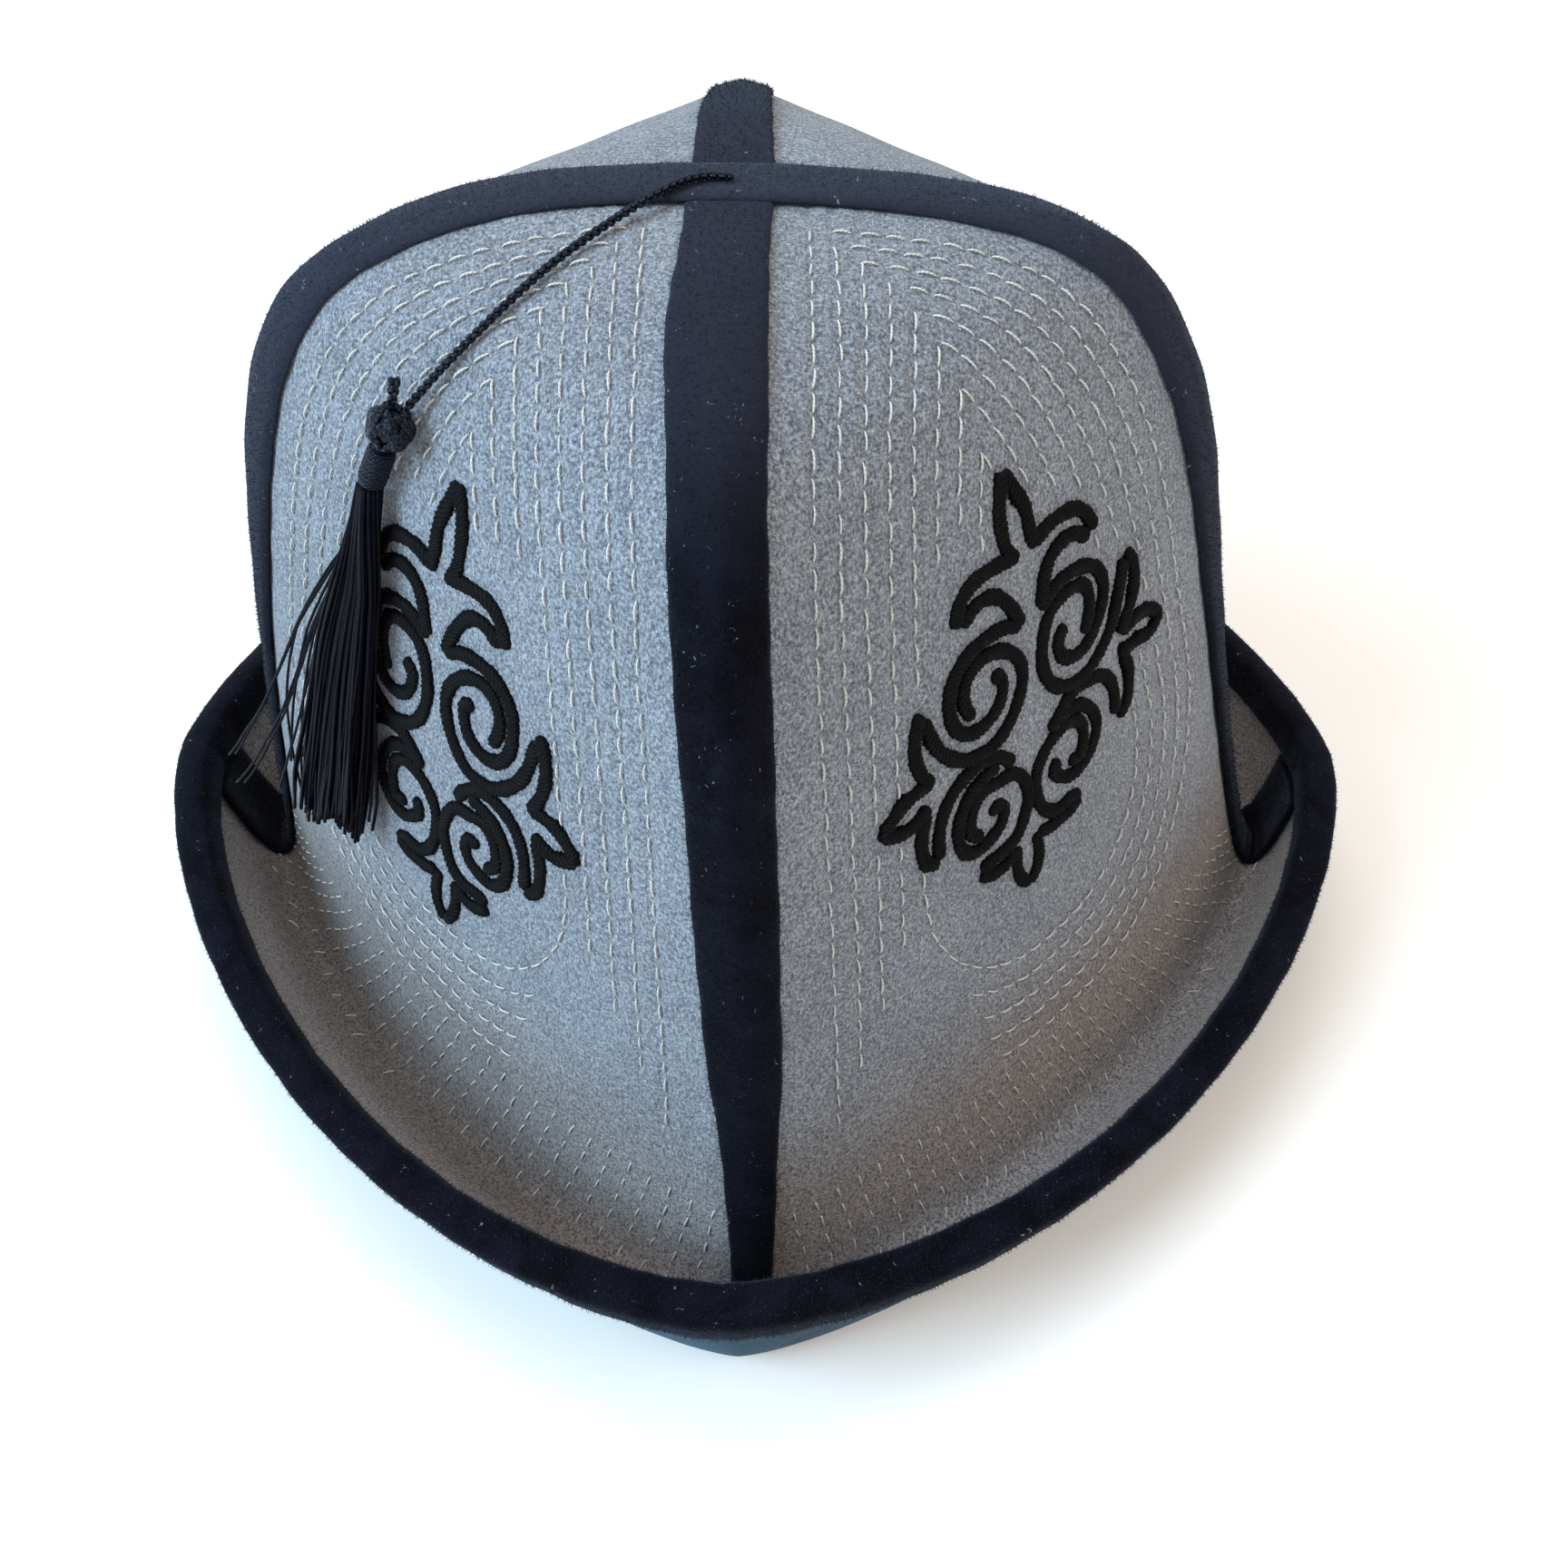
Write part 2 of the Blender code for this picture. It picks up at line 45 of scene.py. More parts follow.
# Camera, a little above the crown and looking down on the front seam.
camera_data = bpy.data.cameras.new("camera")
camera_data.sensor_width = 36.0
camera_data.lens = 33.332
camera_data.clip_start = 0.01
camera = bpy.data.objects.new("camera", camera_data)
bpy.context.scene.collection.objects.link(camera)
CAMERA_DOWN = 48.48      # degrees below level
CAMERA_ROLL = 0.62
camera.matrix_world = (
    Matrix.Translation((0.00658, -0.23689, 0.28839))
    @ Matrix.Rotation(math.radians(90 - CAMERA_DOWN), 4, "X")
    @ Matrix.Rotation(math.radians(CAMERA_ROLL), 4, "Z")
)
bpy.context.scene.camera = camera


# Cord of the tassel: two plies of black thread laid together, sewn down at the apex
# between the seam strips. It hangs over the left front panel and ends in the knot.
PLY_RADIUS = 0.00042
PLY_OFFSET = 0.00038     # from the cord's middle to a ply's middle
CORD_LAY = 0.0030        # one full turn of the plies
CORD_ROUTE = (
    (-0.00299, -0.00315, 0.17542), (-0.00772, -0.00322, 0.17546),
    (-0.01217, -0.00621, 0.17548), (-0.01810, -0.01122, 0.17448),
    (-0.02485, -0.01723, 0.17267), (-0.03243, -0.02398, 0.16988),
    (-0.04205, -0.03052, 0.16374), (-0.04992, -0.03325, 0.15703),
    (-0.05535, -0.03541, 0.15189),
)


def smooth_through(knots, values, at):
    """Natural cubic curve through the values at the knots, read at other places."""
    step = np.diff(knots)
    slope = np.diff(values) / step
    system = np.eye(len(knots))
    side = np.zeros(len(knots))
    for i in range(1, len(knots) - 1):
        system[i, i - 1:i + 2] = step[i - 1], 2 * (step[i - 1] + step[i]), step[i]
        side[i] = 6 * (slope[i] - slope[i - 1])
    bend = np.linalg.solve(system, side)
    i = np.clip(np.searchsorted(knots, at) - 1, 0, len(step) - 1)
    t = at - knots[i]
    first = slope[i] - step[i] * (2 * bend[i] + bend[i + 1]) / 6
    third = (bend[i + 1] - bend[i]) / (6 * step[i])
    return values[i] + t * first + t ** 2 * bend[i] / 2 + t ** 3 * third


def smooth_line(points, step):
    """Points at even steps along a smooth curve through a few points, in two or three numbers each."""
    points = np.array(points, float)
    knots = np.append(0, np.cumsum(np.linalg.norm(np.diff(points, axis=0), axis=1)))
    at = np.linspace(0, knots[-1], max(int(knots[-1] / step) + 1, 3))
    return np.stack([smooth_through(knots, column, at) for column in points.T], 1)


def unit(vectors):
    vectors = np.asarray(vectors, float)
    return vectors / np.maximum(np.linalg.norm(vectors, axis=-1, keepdims=True), 1e-12)


def walked(line):
    """Length walked along a line up to each of its points."""
    return np.append(0, np.cumsum(np.linalg.norm(np.diff(line, axis=0), axis=1)))


def square_to(line):
    """Two directions square to a line at each point, turned as little as the line allows."""
    ahead = unit(np.gradient(line, axis=0))
    start = (0.0, 0.0, 1.0) if abs(ahead[0][2]) < 0.9 else (1.0, 0.0, 0.0)
    side = np.cross(ahead[0], start)
    sides = []
    for direction in ahead:
        side = unit(side - direction * np.dot(side, direction))
        sides.append(side)
    sides = np.array(sides)
    return sides, np.cross(ahead, sides)


def thread(line, radius, around=6, closed=False):
    """A round thread along a line: its points, faces, and UV of length in centimetres and turn."""
    line = np.asarray(line, float)
    sides, others = square_to(line)
    turns = np.linspace(0, 2 * np.pi, around, endpoint=False)
    radii = np.broadcast_to(radius, len(line))[:, None, None]
    loops = line[:, None] + radii * (
        np.cos(turns)[None, :, None] * sides[:, None]
        + np.sin(turns)[None, :, None] * others[:, None]
    )
    count = len(line)
    faces, uvs = [], []
    length = walked(line) * 100
    for i in range(count if closed else count - 1):
        k = (i + 1) % count
        for j in range(around):
            m = (j + 1) % around
            faces.append((i * around + j, i * around + m, k * around + m, k * around + j))
            end = length[k] if k else length[-1] + length[1]
            uvs.append(((length[i], j / around), (length[i], (j + 1) / around),
                        (end, (j + 1) / around), (end, j / around)))
    if not closed:
        faces.append(tuple(reversed(range(around))))
        faces.append(tuple(range((count - 1) * around, count * around)))
        uvs.append(((length[0], 0.0),) * around)
        uvs.append(((length[-1], 0.0),) * around)
    return loops.reshape(-1, 3), faces, uvs


def piece(name, parts, made_of, smooth=True):
    """One mesh object from parts, each of points, faces and the UV of every face corner."""
    points, faces, uvs, base = [], [], [], 0
    for part_points, part_faces, part_uvs in parts:
        points.append(part_points)
        faces += [tuple(base + corner for corner in face) for face in part_faces]
        uvs += [corner for face in part_uvs for corner in face]
        base += len(part_points)
    mesh = bpy.data.meshes.new(name)
    mesh.from_pydata(np.concatenate(points).tolist(), [], faces)
    mesh.update()
    layer = mesh.uv_layers.new(name="cloth")
    layer.data.foreach_set("uv", np.array(uvs, np.float32).ravel())
    mesh.polygons.foreach_set("use_smooth", [smooth] * len(mesh.polygons))
    mesh.materials.append(made_of)
    made = bpy.data.objects.new(name, mesh)
    bpy.context.scene.collection.objects.link(made)
    return made


class Wire:
    """A value on a material's wires. Arithmetic on it adds Math nodes."""

    def __init__(self, look, socket):
        self.look, self.socket = look, socket

    def math(self, operation, *others):
        values = dict(enumerate((self, *others)))
        return self.look.node("ShaderNodeMath", {"operation": operation}, values)

    def __add__(self, other):
        return self.math("ADD", other)

    def __radd__(self, other):
        return self.math("ADD", other)

    def __mul__(self, other):
        return self.math("MULTIPLY", other)

    def __rmul__(self, other):
        return self.math("MULTIPLY", other)

    def __sub__(self, other):
        return self.math("SUBTRACT", other)

    def __rsub__(self, other):
        return (self * -1.0) + other

    def __pow__(self, other):
        return self.math("POWER", other)

    def sine(self):
        return self.math("SINE")

    def between(self, low, high):
        """0 below low, 1 above high, smooth between them."""
        return self.look.node("ShaderNodeMapRange", {"interpolation_type": "SMOOTHSTEP"},
                              {"Value": self, "From Min": low, "From Max": high})


class Look:
    """A material being made. Its shader's constant sockets are set on the shader itself."""

    def __init__(self, name, **constants):
        self.material = bpy.data.materials.new(name)
        self.material.use_nodes = True
        self.tree = self.material.node_tree
        self.shader = self.tree.nodes["Principled BSDF"]
        for socket, value in constants.items():
            self.shader.inputs[socket.replace("_", " ")].default_value = value

    def node(self, kind, settings, values, output=0):
        made = self.tree.nodes.new(kind)
        for setting, value in settings.items():
            setattr(made, setting, value)
        for socket, value in values.items():
            self.join(made.inputs[socket], value)
        return Wire(self, made.outputs[output])

    def join(self, socket, value):
        if isinstance(value, Wire):
            self.tree.links.new(value.socket, socket)
        else:
            socket.default_value = value

    def place(self, scale, turn=0.0, cloth=False):
        """Object coordinates in metres, or the piece's UV, scaled and turned about Z."""
        where = self.node("ShaderNodeTexCoord", {}, {}, "UV" if cloth else "Object")
        return self.node("ShaderNodeMapping", {},
                         {"Vector": where, "Scale": scale, "Rotation": (0.0, 0.0, turn)})

    def noise(self, where, scale, detail=2.0, rough=0.5, twist=0.0):
        return self.node("ShaderNodeTexNoise", {},
                         {"Vector": where, "Scale": scale, "Detail": detail,
                          "Roughness": rough, "Distortion": twist}, "Fac")

    def mix(self, share, first, second):
        """Colour between two colours."""
        return self.node("ShaderNodeMix", {"data_type": "RGBA"},
                         {0: share, 6: first, 7: second}, 2)

    def part_of(self, wire, axis):
        return self.node("ShaderNodeSeparateXYZ", {}, {0: wire}, axis)

    def bump(self, height, distance, strength=1.0):
        made = self.node("ShaderNodeBump", {}, {"Height": height, "Distance": distance,
                                                 "Strength": strength})
        self.join(self.shader.inputs["Normal"], made)


def thread_look(name, dark, light, roughness, sheen, twist_turns, twist_pitch, twist=1.0,
                gloss=0.25):
    """Spun thread: fibres run round it at a slant, which the UV of a thread gives."""
    look = Look(name, Roughness=roughness, Sheen_Weight=sheen, Sheen_Roughness=0.4,
                Specular_IOR_Level=gloss)
    cloth = look.place((1.0, 1.0, 1.0), cloth=True)
    along, turn = look.part_of(cloth, 0), look.part_of(cloth, 1)
    slant = (along * (2 * np.pi / twist_pitch) + turn * (2 * np.pi * twist_turns)).sine()
    fibres = look.noise(look.place((900.0, 900.0, 900.0)), 1.0, 3.0, 0.6)
    share = (slant * (0.25 * twist) + 0.5) * 0.6 + fibres * 0.5
    look.join(look.shader.inputs["Base Color"],
              look.mix(share.between(0.25, 0.95), (*dark, 1.0), (*light, 1.0)))
    look.bump(slant * (0.5 * twist) + fibres, 0.00008)
    return look.material


# Partly painted highlight: the paler blue stripes along the twist stand in for glints of the cool light on the
# black thread
black_thread = thread_look("black_thread", (0.0005, 0.0007, 0.0015), (0.0130, 0.0195, 0.043),
                           0.30, 0.0, 2, 0.09, 1.7, 0.19)
route = smooth_line(CORD_ROUTE, 0.0002)
sides, others = square_to(route)
turn_along = walked(route) * 2 * np.pi / CORD_LAY
plies = []
for start in (0.0, np.pi):
    turn = (turn_along + start)[:, None]
    ply = route + PLY_OFFSET * (np.cos(turn) * sides + np.sin(turn) * others)
    plies.append(thread(ply[::2], PLY_RADIUS, 8))
cord = piece("cord_two_ply", plies, black_thread)


# Knot, tail and neck of the tassel: the cord is tied in a woven ball, its short end stands
# out above, and below it fine thread is wound round the top of the skirt.
KNOT_CENTRE = np.array((-0.05842, -0.03663, 0.14898))
SKIRT_AXIS = unit((-0.43627, 0.04384, -0.89875))
KNOT_RADIUS = 0.0043
KNOT_LEADS, KNOT_BIGHTS = 4, 5      # strands side by side, and scallops round each pole
KNOT_STRAND = 0.00056
KNOT_REACH = math.radians(66)       # latitude that the strands turn back at
KNOT_WEAVE = 0.00025                # how far a strand rises over the one it crosses
NECK_FOOT = np.array((-0.06034, -0.03644, 0.14502))
NECK_RADIUS, NECK_LENGTH = 0.0025, 0.0085
NECK_THREAD = 0.00027
TAIL_FOOT = np.array((-0.05743, -0.03575, 0.15317))
TAIL_AXIS = unit((0.22414, 0.20056, 0.95370))
TAIL_LENGTH = 0.0040


def round_axis(axis):
    level = unit(np.cross(axis, (0.0, 0.0, 1.0)))
    return level, np.cross(axis, level)


def revolved(centre, axis, profile, around):
    """A closed turned shape: the profile's rows are a distance along the axis and a radius."""
    level, other = round_axis(axis)
    turns = np.linspace(0, 2 * np.pi, around, endpoint=False)[:, None]
    loops = np.array([centre + along * axis + radius * (np.cos(turns) * level + np.sin(turns) * other)
                      for along, radius in profile])
    faces, uvs = [], []
    for i in range(len(profile) - 1):
        for j in range(around):
            m = (j + 1) % around
            faces.append((i * around + j, (i + 1) * around + j, (i + 1) * around + m, i * around + m))
            uvs.append(((i / 10, j / around),) * 4)
    faces.append(tuple(range(around)))
    faces.append(tuple(reversed(range((len(profile) - 1) * around, len(profile) * around))))
    uvs += [((0.0, 0.0),) * around, ((1.0, 0.0),) * around]
    return loops.reshape(-1, 3), faces, uvs


level, other = round_axis(SKIRT_AXIS)
polar = np.linspace(0.15, np.pi - 0.15, 14)
core = KNOT_RADIUS - 2.1 * KNOT_STRAND
knot_parts = [revolved(KNOT_CENTRE, SKIRT_AXIS,
                       [(-core * np.cos(a), core * np.sin(a)) for a in polar], 24)]
walk = np.linspace(0, 2 * np.pi * KNOT_LEADS, 480, endpoint=False)
for aside in (-1.0, 0.0, 1.0):
    wave = walk * KNOT_BIGHTS / KNOT_LEADS
    latitude = KNOT_REACH * np.sin(wave) + aside * 0.19 * np.cos(wave)
    longitude = walk + aside * 0.15 * np.sin(wave)
    out = KNOT_RADIUS - KNOT_STRAND + KNOT_WEAVE * np.cos(2 * walk * KNOT_BIGHTS) - KNOT_WEAVE
    strand = KNOT_CENTRE + out[:, None] * (
        np.sin(latitude)[:, None] * SKIRT_AXIS
        + np.cos(latitude)[:, None] * (np.cos(longitude)[:, None] * level
                                       + np.sin(longitude)[:, None] * other)
    )
    knot_parts.append(thread(strand, KNOT_STRAND, 6, closed=True))
knot = piece("knot_woven", knot_parts, black_thread)

tail_line = TAIL_FOOT + np.linspace(0, TAIL_LENGTH, 22)[:, None] * TAIL_AXIS
level, other = round_axis(TAIL_AXIS)
tail_parts = []
for start in (0.0, np.pi):
    turn = (np.linspace(0, TAIL_LENGTH, 22) * 2 * np.pi / CORD_LAY + start)[:, None]
    swell = 1 + 0.5 * np.linspace(0, 1, 22)[:, None]
    ply = tail_line + PLY_OFFSET * swell * (np.cos(turn) * level + np.sin(turn) * other)
    tail_parts.append(thread(ply, PLY_RADIUS * swell[:, 0], 8))
tail = piece("tail_two_ply", tail_parts, black_thread)

level, other = round_axis(SKIRT_AXIS)
inner = NECK_RADIUS - 1.4 * NECK_THREAD
neck_parts = [revolved(NECK_FOOT, SKIRT_AXIS,
                       [(0.0002, 0.8 * inner), (0.0008, inner), (NECK_LENGTH - 0.0008, inner),
                        (NECK_LENGTH - 0.0002, 0.85 * inner)], 24)]
rows_of_thread = int(NECK_LENGTH / (1.9 * NECK_THREAD))
turn = np.linspace(0, 2 * np.pi * rows_of_thread, rows_of_thread * 22)
share = turn / turn[-1]
ease = 1 - 0.16 * np.clip(1 - share / 0.12, 0, 1) - 0.12 * np.clip((share - 0.88) / 0.12, 0, 1)
uneven = 1 + 0.02 * np.sin(turn * 0.37)
winding = (NECK_FOOT + (NECK_THREAD + share * (NECK_LENGTH - 2 * NECK_THREAD))[:, None] * SKIRT_AXIS
           + ((NECK_RADIUS - NECK_THREAD) * ease * uneven)[:, None]
           * (np.cos(turn)[:, None] * level + np.sin(turn)[:, None] * other))
neck_parts.append(thread(winding, NECK_THREAD, 6))
neck = piece("neck_winding", neck_parts, black_thread)


# Skirt of the tassel: about two hundred loose ends of black thread, gathered in the neck.
# They fall in locks, part a little toward the hem, and a few stray out to the left.
SKIRT_LENGTH = 0.078
SKIRT_LINE = (
    (-0.06418, -0.03605, 0.13711), (-0.06786, -0.03992, 0.12322),
    (-0.07201, -0.04176, 0.11004), (-0.07919, -0.04588, 0.08313),
    (-0.08607, -0.04737, 0.05848),
)
OUTWARD = np.array((-0.83317, -0.48756, 0.26099))
SKIRT_TILT = math.radians(34)
# share of the length, half the width, half the thickness
SKIRT_FORM = np.array((
    (0.00, 0.0023, 0.0022), (0.08, 0.0029, 0.0026), (0.24, 0.0046, 0.0032),
    (0.44, 0.0068, 0.0037), (0.68, 0.0082, 0.0041), (0.88, 0.0090, 0.0042),
    (1.10, 0.0088, 0.0034),
))
SKIRT_THREADS, SKIRT_LOCKS = 210, 17
THREAD_RADIUS = 0.00036
THREAD_POINTS = 40
middle_line = smooth_line(SKIRT_LINE, 0.0005)
middle_walk = walked(middle_line)
draw = np.random.default_rng(11)


def in_skirt(share, across, deep, rise=0.0):
    """Points of the skirt at shares of its length; across and deep are shares of its half sizes."""
    share = np.asarray(share, float)
    at = share * SKIRT_LENGTH
    reach = np.stack([np.interp(at, middle_walk, column) for column in middle_line.T], 1)
    beyond = np.maximum(at - middle_walk[-1], 0)[:, None]
    end = unit(middle_line[-1] - middle_line[-8])
    reach = reach + beyond * end
    ahead = unit(np.gradient(reach, axis=0))
    left = unit(np.cross(ahead, OUTWARD))
    normal = np.cross(left, ahead)
    tilt = (SKIRT_TILT * np.minimum(share / 0.25, 1.0))[:, None]
    left, normal = (np.cos(tilt) * left + np.sin(tilt) * normal,
                    np.cos(tilt) * normal - np.sin(tilt) * left)
    half = np.interp(share, SKIRT_FORM[:, 0], SKIRT_FORM[:, 1])
    thick = np.interp(share, SKIRT_FORM[:, 0], SKIRT_FORM[:, 2])
    return reach + (half * across)[:, None] * left + (thick * deep + rise)[:, None] * normal


skirt_thread = thread_look("skirt_thread", (0.0008, 0.0008, 0.0018), (0.0065, 0.0070, 0.016),
                           0.42, 0.0, 1, 0.16, 0.15, 0.08)
skirt_parts = []
lock_turn = np.arange(SKIRT_LOCKS) * 2.39996
lock_out = np.sqrt((np.arange(SKIRT_LOCKS) + 0.5) / SKIRT_LOCKS)
lock_end = draw.uniform(-0.045, 0.035, SKIRT_LOCKS)
for number in range(SKIRT_THREADS):
    lock = number % SKIRT_LOCKS
    spread = 0.34 * np.sqrt(draw.random())
    own_turn = draw.uniform(0, 2 * np.pi)
    end = 1.0 + lock_end[lock] + draw.normal(0, 0.014)
    share = np.linspace(0.004, end, THREAD_POINTS)
    gather = 1 - 0.25 * share
    waves = draw.uniform(0.6, 1.8, 2)
    starts = draw.uniform(0, 2 * np.pi, 2)
    sway = draw.normal(0, 0.07) * share * np.sin(waves[0] * 2 * np.pi * share + starts[0])
    bob = draw.normal(0, 0.10) * share * np.sin(waves[1] * 2 * np.pi * share + starts[1])
    across = 0.80 * lock_out[lock] * np.cos(lock_turn[lock]) + gather * spread * np.cos(own_turn)
    deep = 0.72 * lock_out[lock] * np.sin(lock_turn[lock]) + gather * spread * np.sin(own_turn)
    skirt_parts.append(thread(in_skirt(share, across + sway, deep + bob), THREAD_RADIUS, 5))
# Strays: how far each bows out and ends out, in half widths of the skirt, and its length
STRAYS = ((0.55, 0.9, 0.97), (0.75, 1.2, 0.90), (1.1, 0.9, 0.98), (0.5, 2.2, 1.09),
          (0.54, 2.32, 1.11), (0.9, 2.9, 1.02), (0.94, 2.8, 1.0), (0.35, 1.5, 1.02),
          (0.2, 1.1, 0.86), (-0.2, -0.9, 0.95))
for bow, out, end in STRAYS:
    share = np.linspace(0.02, end, THREAD_POINTS)
    across = 0.6 * np.sign(out) + bow * np.sin(np.pi * share) + (out - 0.6 * np.sign(out)) * share ** 3
    skirt_parts.append(thread(in_skirt(share, across, -0.25, 0.0004), 0.8 * THREAD_RADIUS, 5))
skirt = piece("skirt_threads", skirt_parts, skirt_thread)

for one, node in ((cord, "tassel_cord"), (knot, "tassel_knot"), (tail, "tassel_tail"),
                  (neck, "tassel_neck"), (skirt, "tassel_skirt")):
    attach(one, "root")
    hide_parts(node)


# Felt panels: four pieces of heather grey wool felt, 2.5 mm thick, joined edge to edge.
# Each runs from the apex down the crown, round the fold and up the inside of the brim,
# and is quilted in rows that follow its seams.
HALF_WIDTH = 0.104
HEIGHT = 0.1728
FELT = 0.0025
VELVET = 0.0012
GAP = 0.0003
STRIP_HALF = 0.0080
BINDING_DEPTH = 0.0084
FRONT_RISE, MIDDLE_DIP, BACK_RISE = 0.0023, 0.0071, 0.0125
CENTRE_SHIFT = (0.0009, -0.0018)
COLUMNS = ("left", "right", "front", "back", "height", "corner", "sway", "brim",
           "side_strip", "front_strip")
# The part's sections, from the apex to the rim
SECTIONS = np.array((
    (0.000, 0.000, 0.000, 0.000, 1.000, 1.02, -0.037, 0.00, 0.78, 0.86),
    (0.290, 0.281, 0.271, 0.271, 0.997, 1.02, -0.042, 0.00, 0.80, 0.86),
    (0.543, 0.566, 0.518, 0.518, 0.968, 1.02, -0.040, 0.00, 0.93, 0.88),
    (0.748, 0.722, 0.713, 0.713, 0.899, 1.03, -0.036, 0.00, 1.00, 0.91),
    (0.884, 0.832, 0.843, 0.843, 0.772, 1.05, -0.027, 0.00, 1.03, 0.98),
    (0.969, 0.900, 0.925, 0.925, 0.613, 1.10, -0.014, 0.00, 1.03, 1.00),
    (1.037, 0.967, 0.997, 0.997, 0.437, 1.17, -0.003, 0.00, 1.03, 0.98),
    (1.093, 1.045, 1.070, 1.070, 0.249, 1.24, 0.006, 0.00, 1.03, 0.84),
    (1.126, 1.118, 1.131, 1.131, 0.098, 1.31, 0.008, 0.00, 1.06, 0.72),
    (1.140, 1.160, 1.163, 1.163, 0.0405, 1.35, 0.003, 0.00, 1.09, 0.62),
    (1.163, 1.206, 1.206, 1.206, 0.0232, 1.36, -0.009, 0.00, 1.09, 0.57),
    (1.190, 1.244, 1.238, 1.245, 0.0463, 1.44, -0.019, 0.12, 1.05, 0.54),
    (1.226, 1.293, 1.279, 1.313, 0.2037, 1.62, -0.042, 1.00, 0.98, 0.50),
))
RIM = len(SECTIONS) - 1
FINE_STEPS = 40
TOP_ROWS = 5


def fine_rows():
    """The table's columns in metres on a fine scale of places: 0 is the apex, RIM the rim."""
    table = dict(zip(COLUMNS, SECTIONS.T))
    across = table["front"] * HALF_WIDTH
    chord = np.hypot(np.diff(across), np.diff(table["height"] * HEIGHT))
    knots = np.append(0, np.cumsum(np.sqrt(chord)))
    places = np.linspace(0, RIM, RIM * FINE_STEPS + 1)
    at = np.interp(places, np.arange(RIM + 1), knots)
    rows = {name: smooth_through(knots, column, at) for name, column in table.items()}
    rows["brim"] = np.interp(places, np.arange(RIM + 1), table["brim"])
    for name in ("left", "right", "front", "back", "sway"):
        rows[name] = rows[name] * HALF_WIDTH
    rows["height"] = rows["height"] * HEIGHT
    for name in ("side_strip", "front_strip"):
        rows[name] = rows[name] * STRIP_HALF
    rows["middle"] = 2 ** (0.5 - 1 / rows["corner"])
    mean = (rows["left"] + rows["right"] + rows["front"] + rows["back"]) / 4
    out = np.gradient(rows["middle"] * mean)
    down = np.gradient(rows["height"])
    length = np.hypot(out, down)
    rows["along_out"] = out / length
    rows["along_up"] = down / length
    path = np.append(0, np.cumsum(np.hypot(np.diff(rows["middle"] * mean),
                                           np.diff(rows["height"]))))
    rows["to_rim"] = path[-1] - path
    rows["place"] = places
    return rows


ROWS = fine_rows()


def row_value(name, place):
    return np.interp(place, ROWS["place"], ROWS[name])


def place_at(to_rim):
    """The place on the profile that lies this far down from the rim."""
    return np.interp(-np.asarray(to_rim), -ROWS["to_rim"], ROWS["place"])


def section_at(place, lift=0.0, beyond=0.0):
    """The section at a place, lifted off the show face and moved on along the profile."""
    along_out = row_value("along_out", place)
    along_up = row_value("along_up", place)
    out = (beyond * along_out - lift * along_up) / row_value("middle", place)
    section = {name: row_value(name, place) + out for name in ("left", "right", "front", "back")}
    section["height"] = row_value("height", place) + lift * along_out + beyond * along_up
    for name in ("corner", "sway", "brim"):
        section[name] = row_value(name, place)
    return section


def rim_rise(section, back, sine):
    """Height that the brim gains between the side seam, where sine is 0, and the next seam."""
    square = sine ** 2
    rise = FRONT_RISE * square + back * BACK_RISE * square
    return section["brim"] * (rise - MIDDLE_DIP * 4 * square * (1 - square))


def placed(x, y, z):
    return np.stack(np.broadcast_arrays(x + CENTRE_SHIFT[0], y + CENTRE_SHIFT[1], z), -1)


def felt_point(place, angle, lift=0.0, beyond=0.0):
    """Point over the show face. Angle 0 is the right seam, pi / 2 the back seam."""
    section = section_at(place, lift, beyond)
    cosine, sine = np.cos(angle), np.sin(angle)
    power = 2 / section["corner"]
    across = np.where(cosine > 0, section["right"], section["left"])
    deep = np.where(sine > 0, section["back"], section["front"])
    x = np.sign(cosine) * across * np.abs(cosine) ** power + section["sway"]
    y = np.sign(sine) * deep * np.abs(sine) ** power
    z = section["height"] + rim_rise(section, sine > 0, sine)
    return placed(x, y, z)


PANEL_START = 0.12
PANEL_ROWS, PANEL_COLUMNS = 196, 112
# Row spacing and form of the quilting, in millimetres from the seams
FIRST_ROW, ROW_STEP = 18.2, 5.4
ROWS_FRONT, ROWS_BACK, ROWS_TURNED = 8, 10, 5
TURN_RADIUS, TURN_FOOT = 75.0, 210.5
ORNAMENT_TOP = 79.0
BACK_ROWS_FROM = 62.0
GROOVE_DEPTH, GROOVE_HALF = 0.00042, 1.25
TOTAL = ROWS["to_rim"][0] * 1000


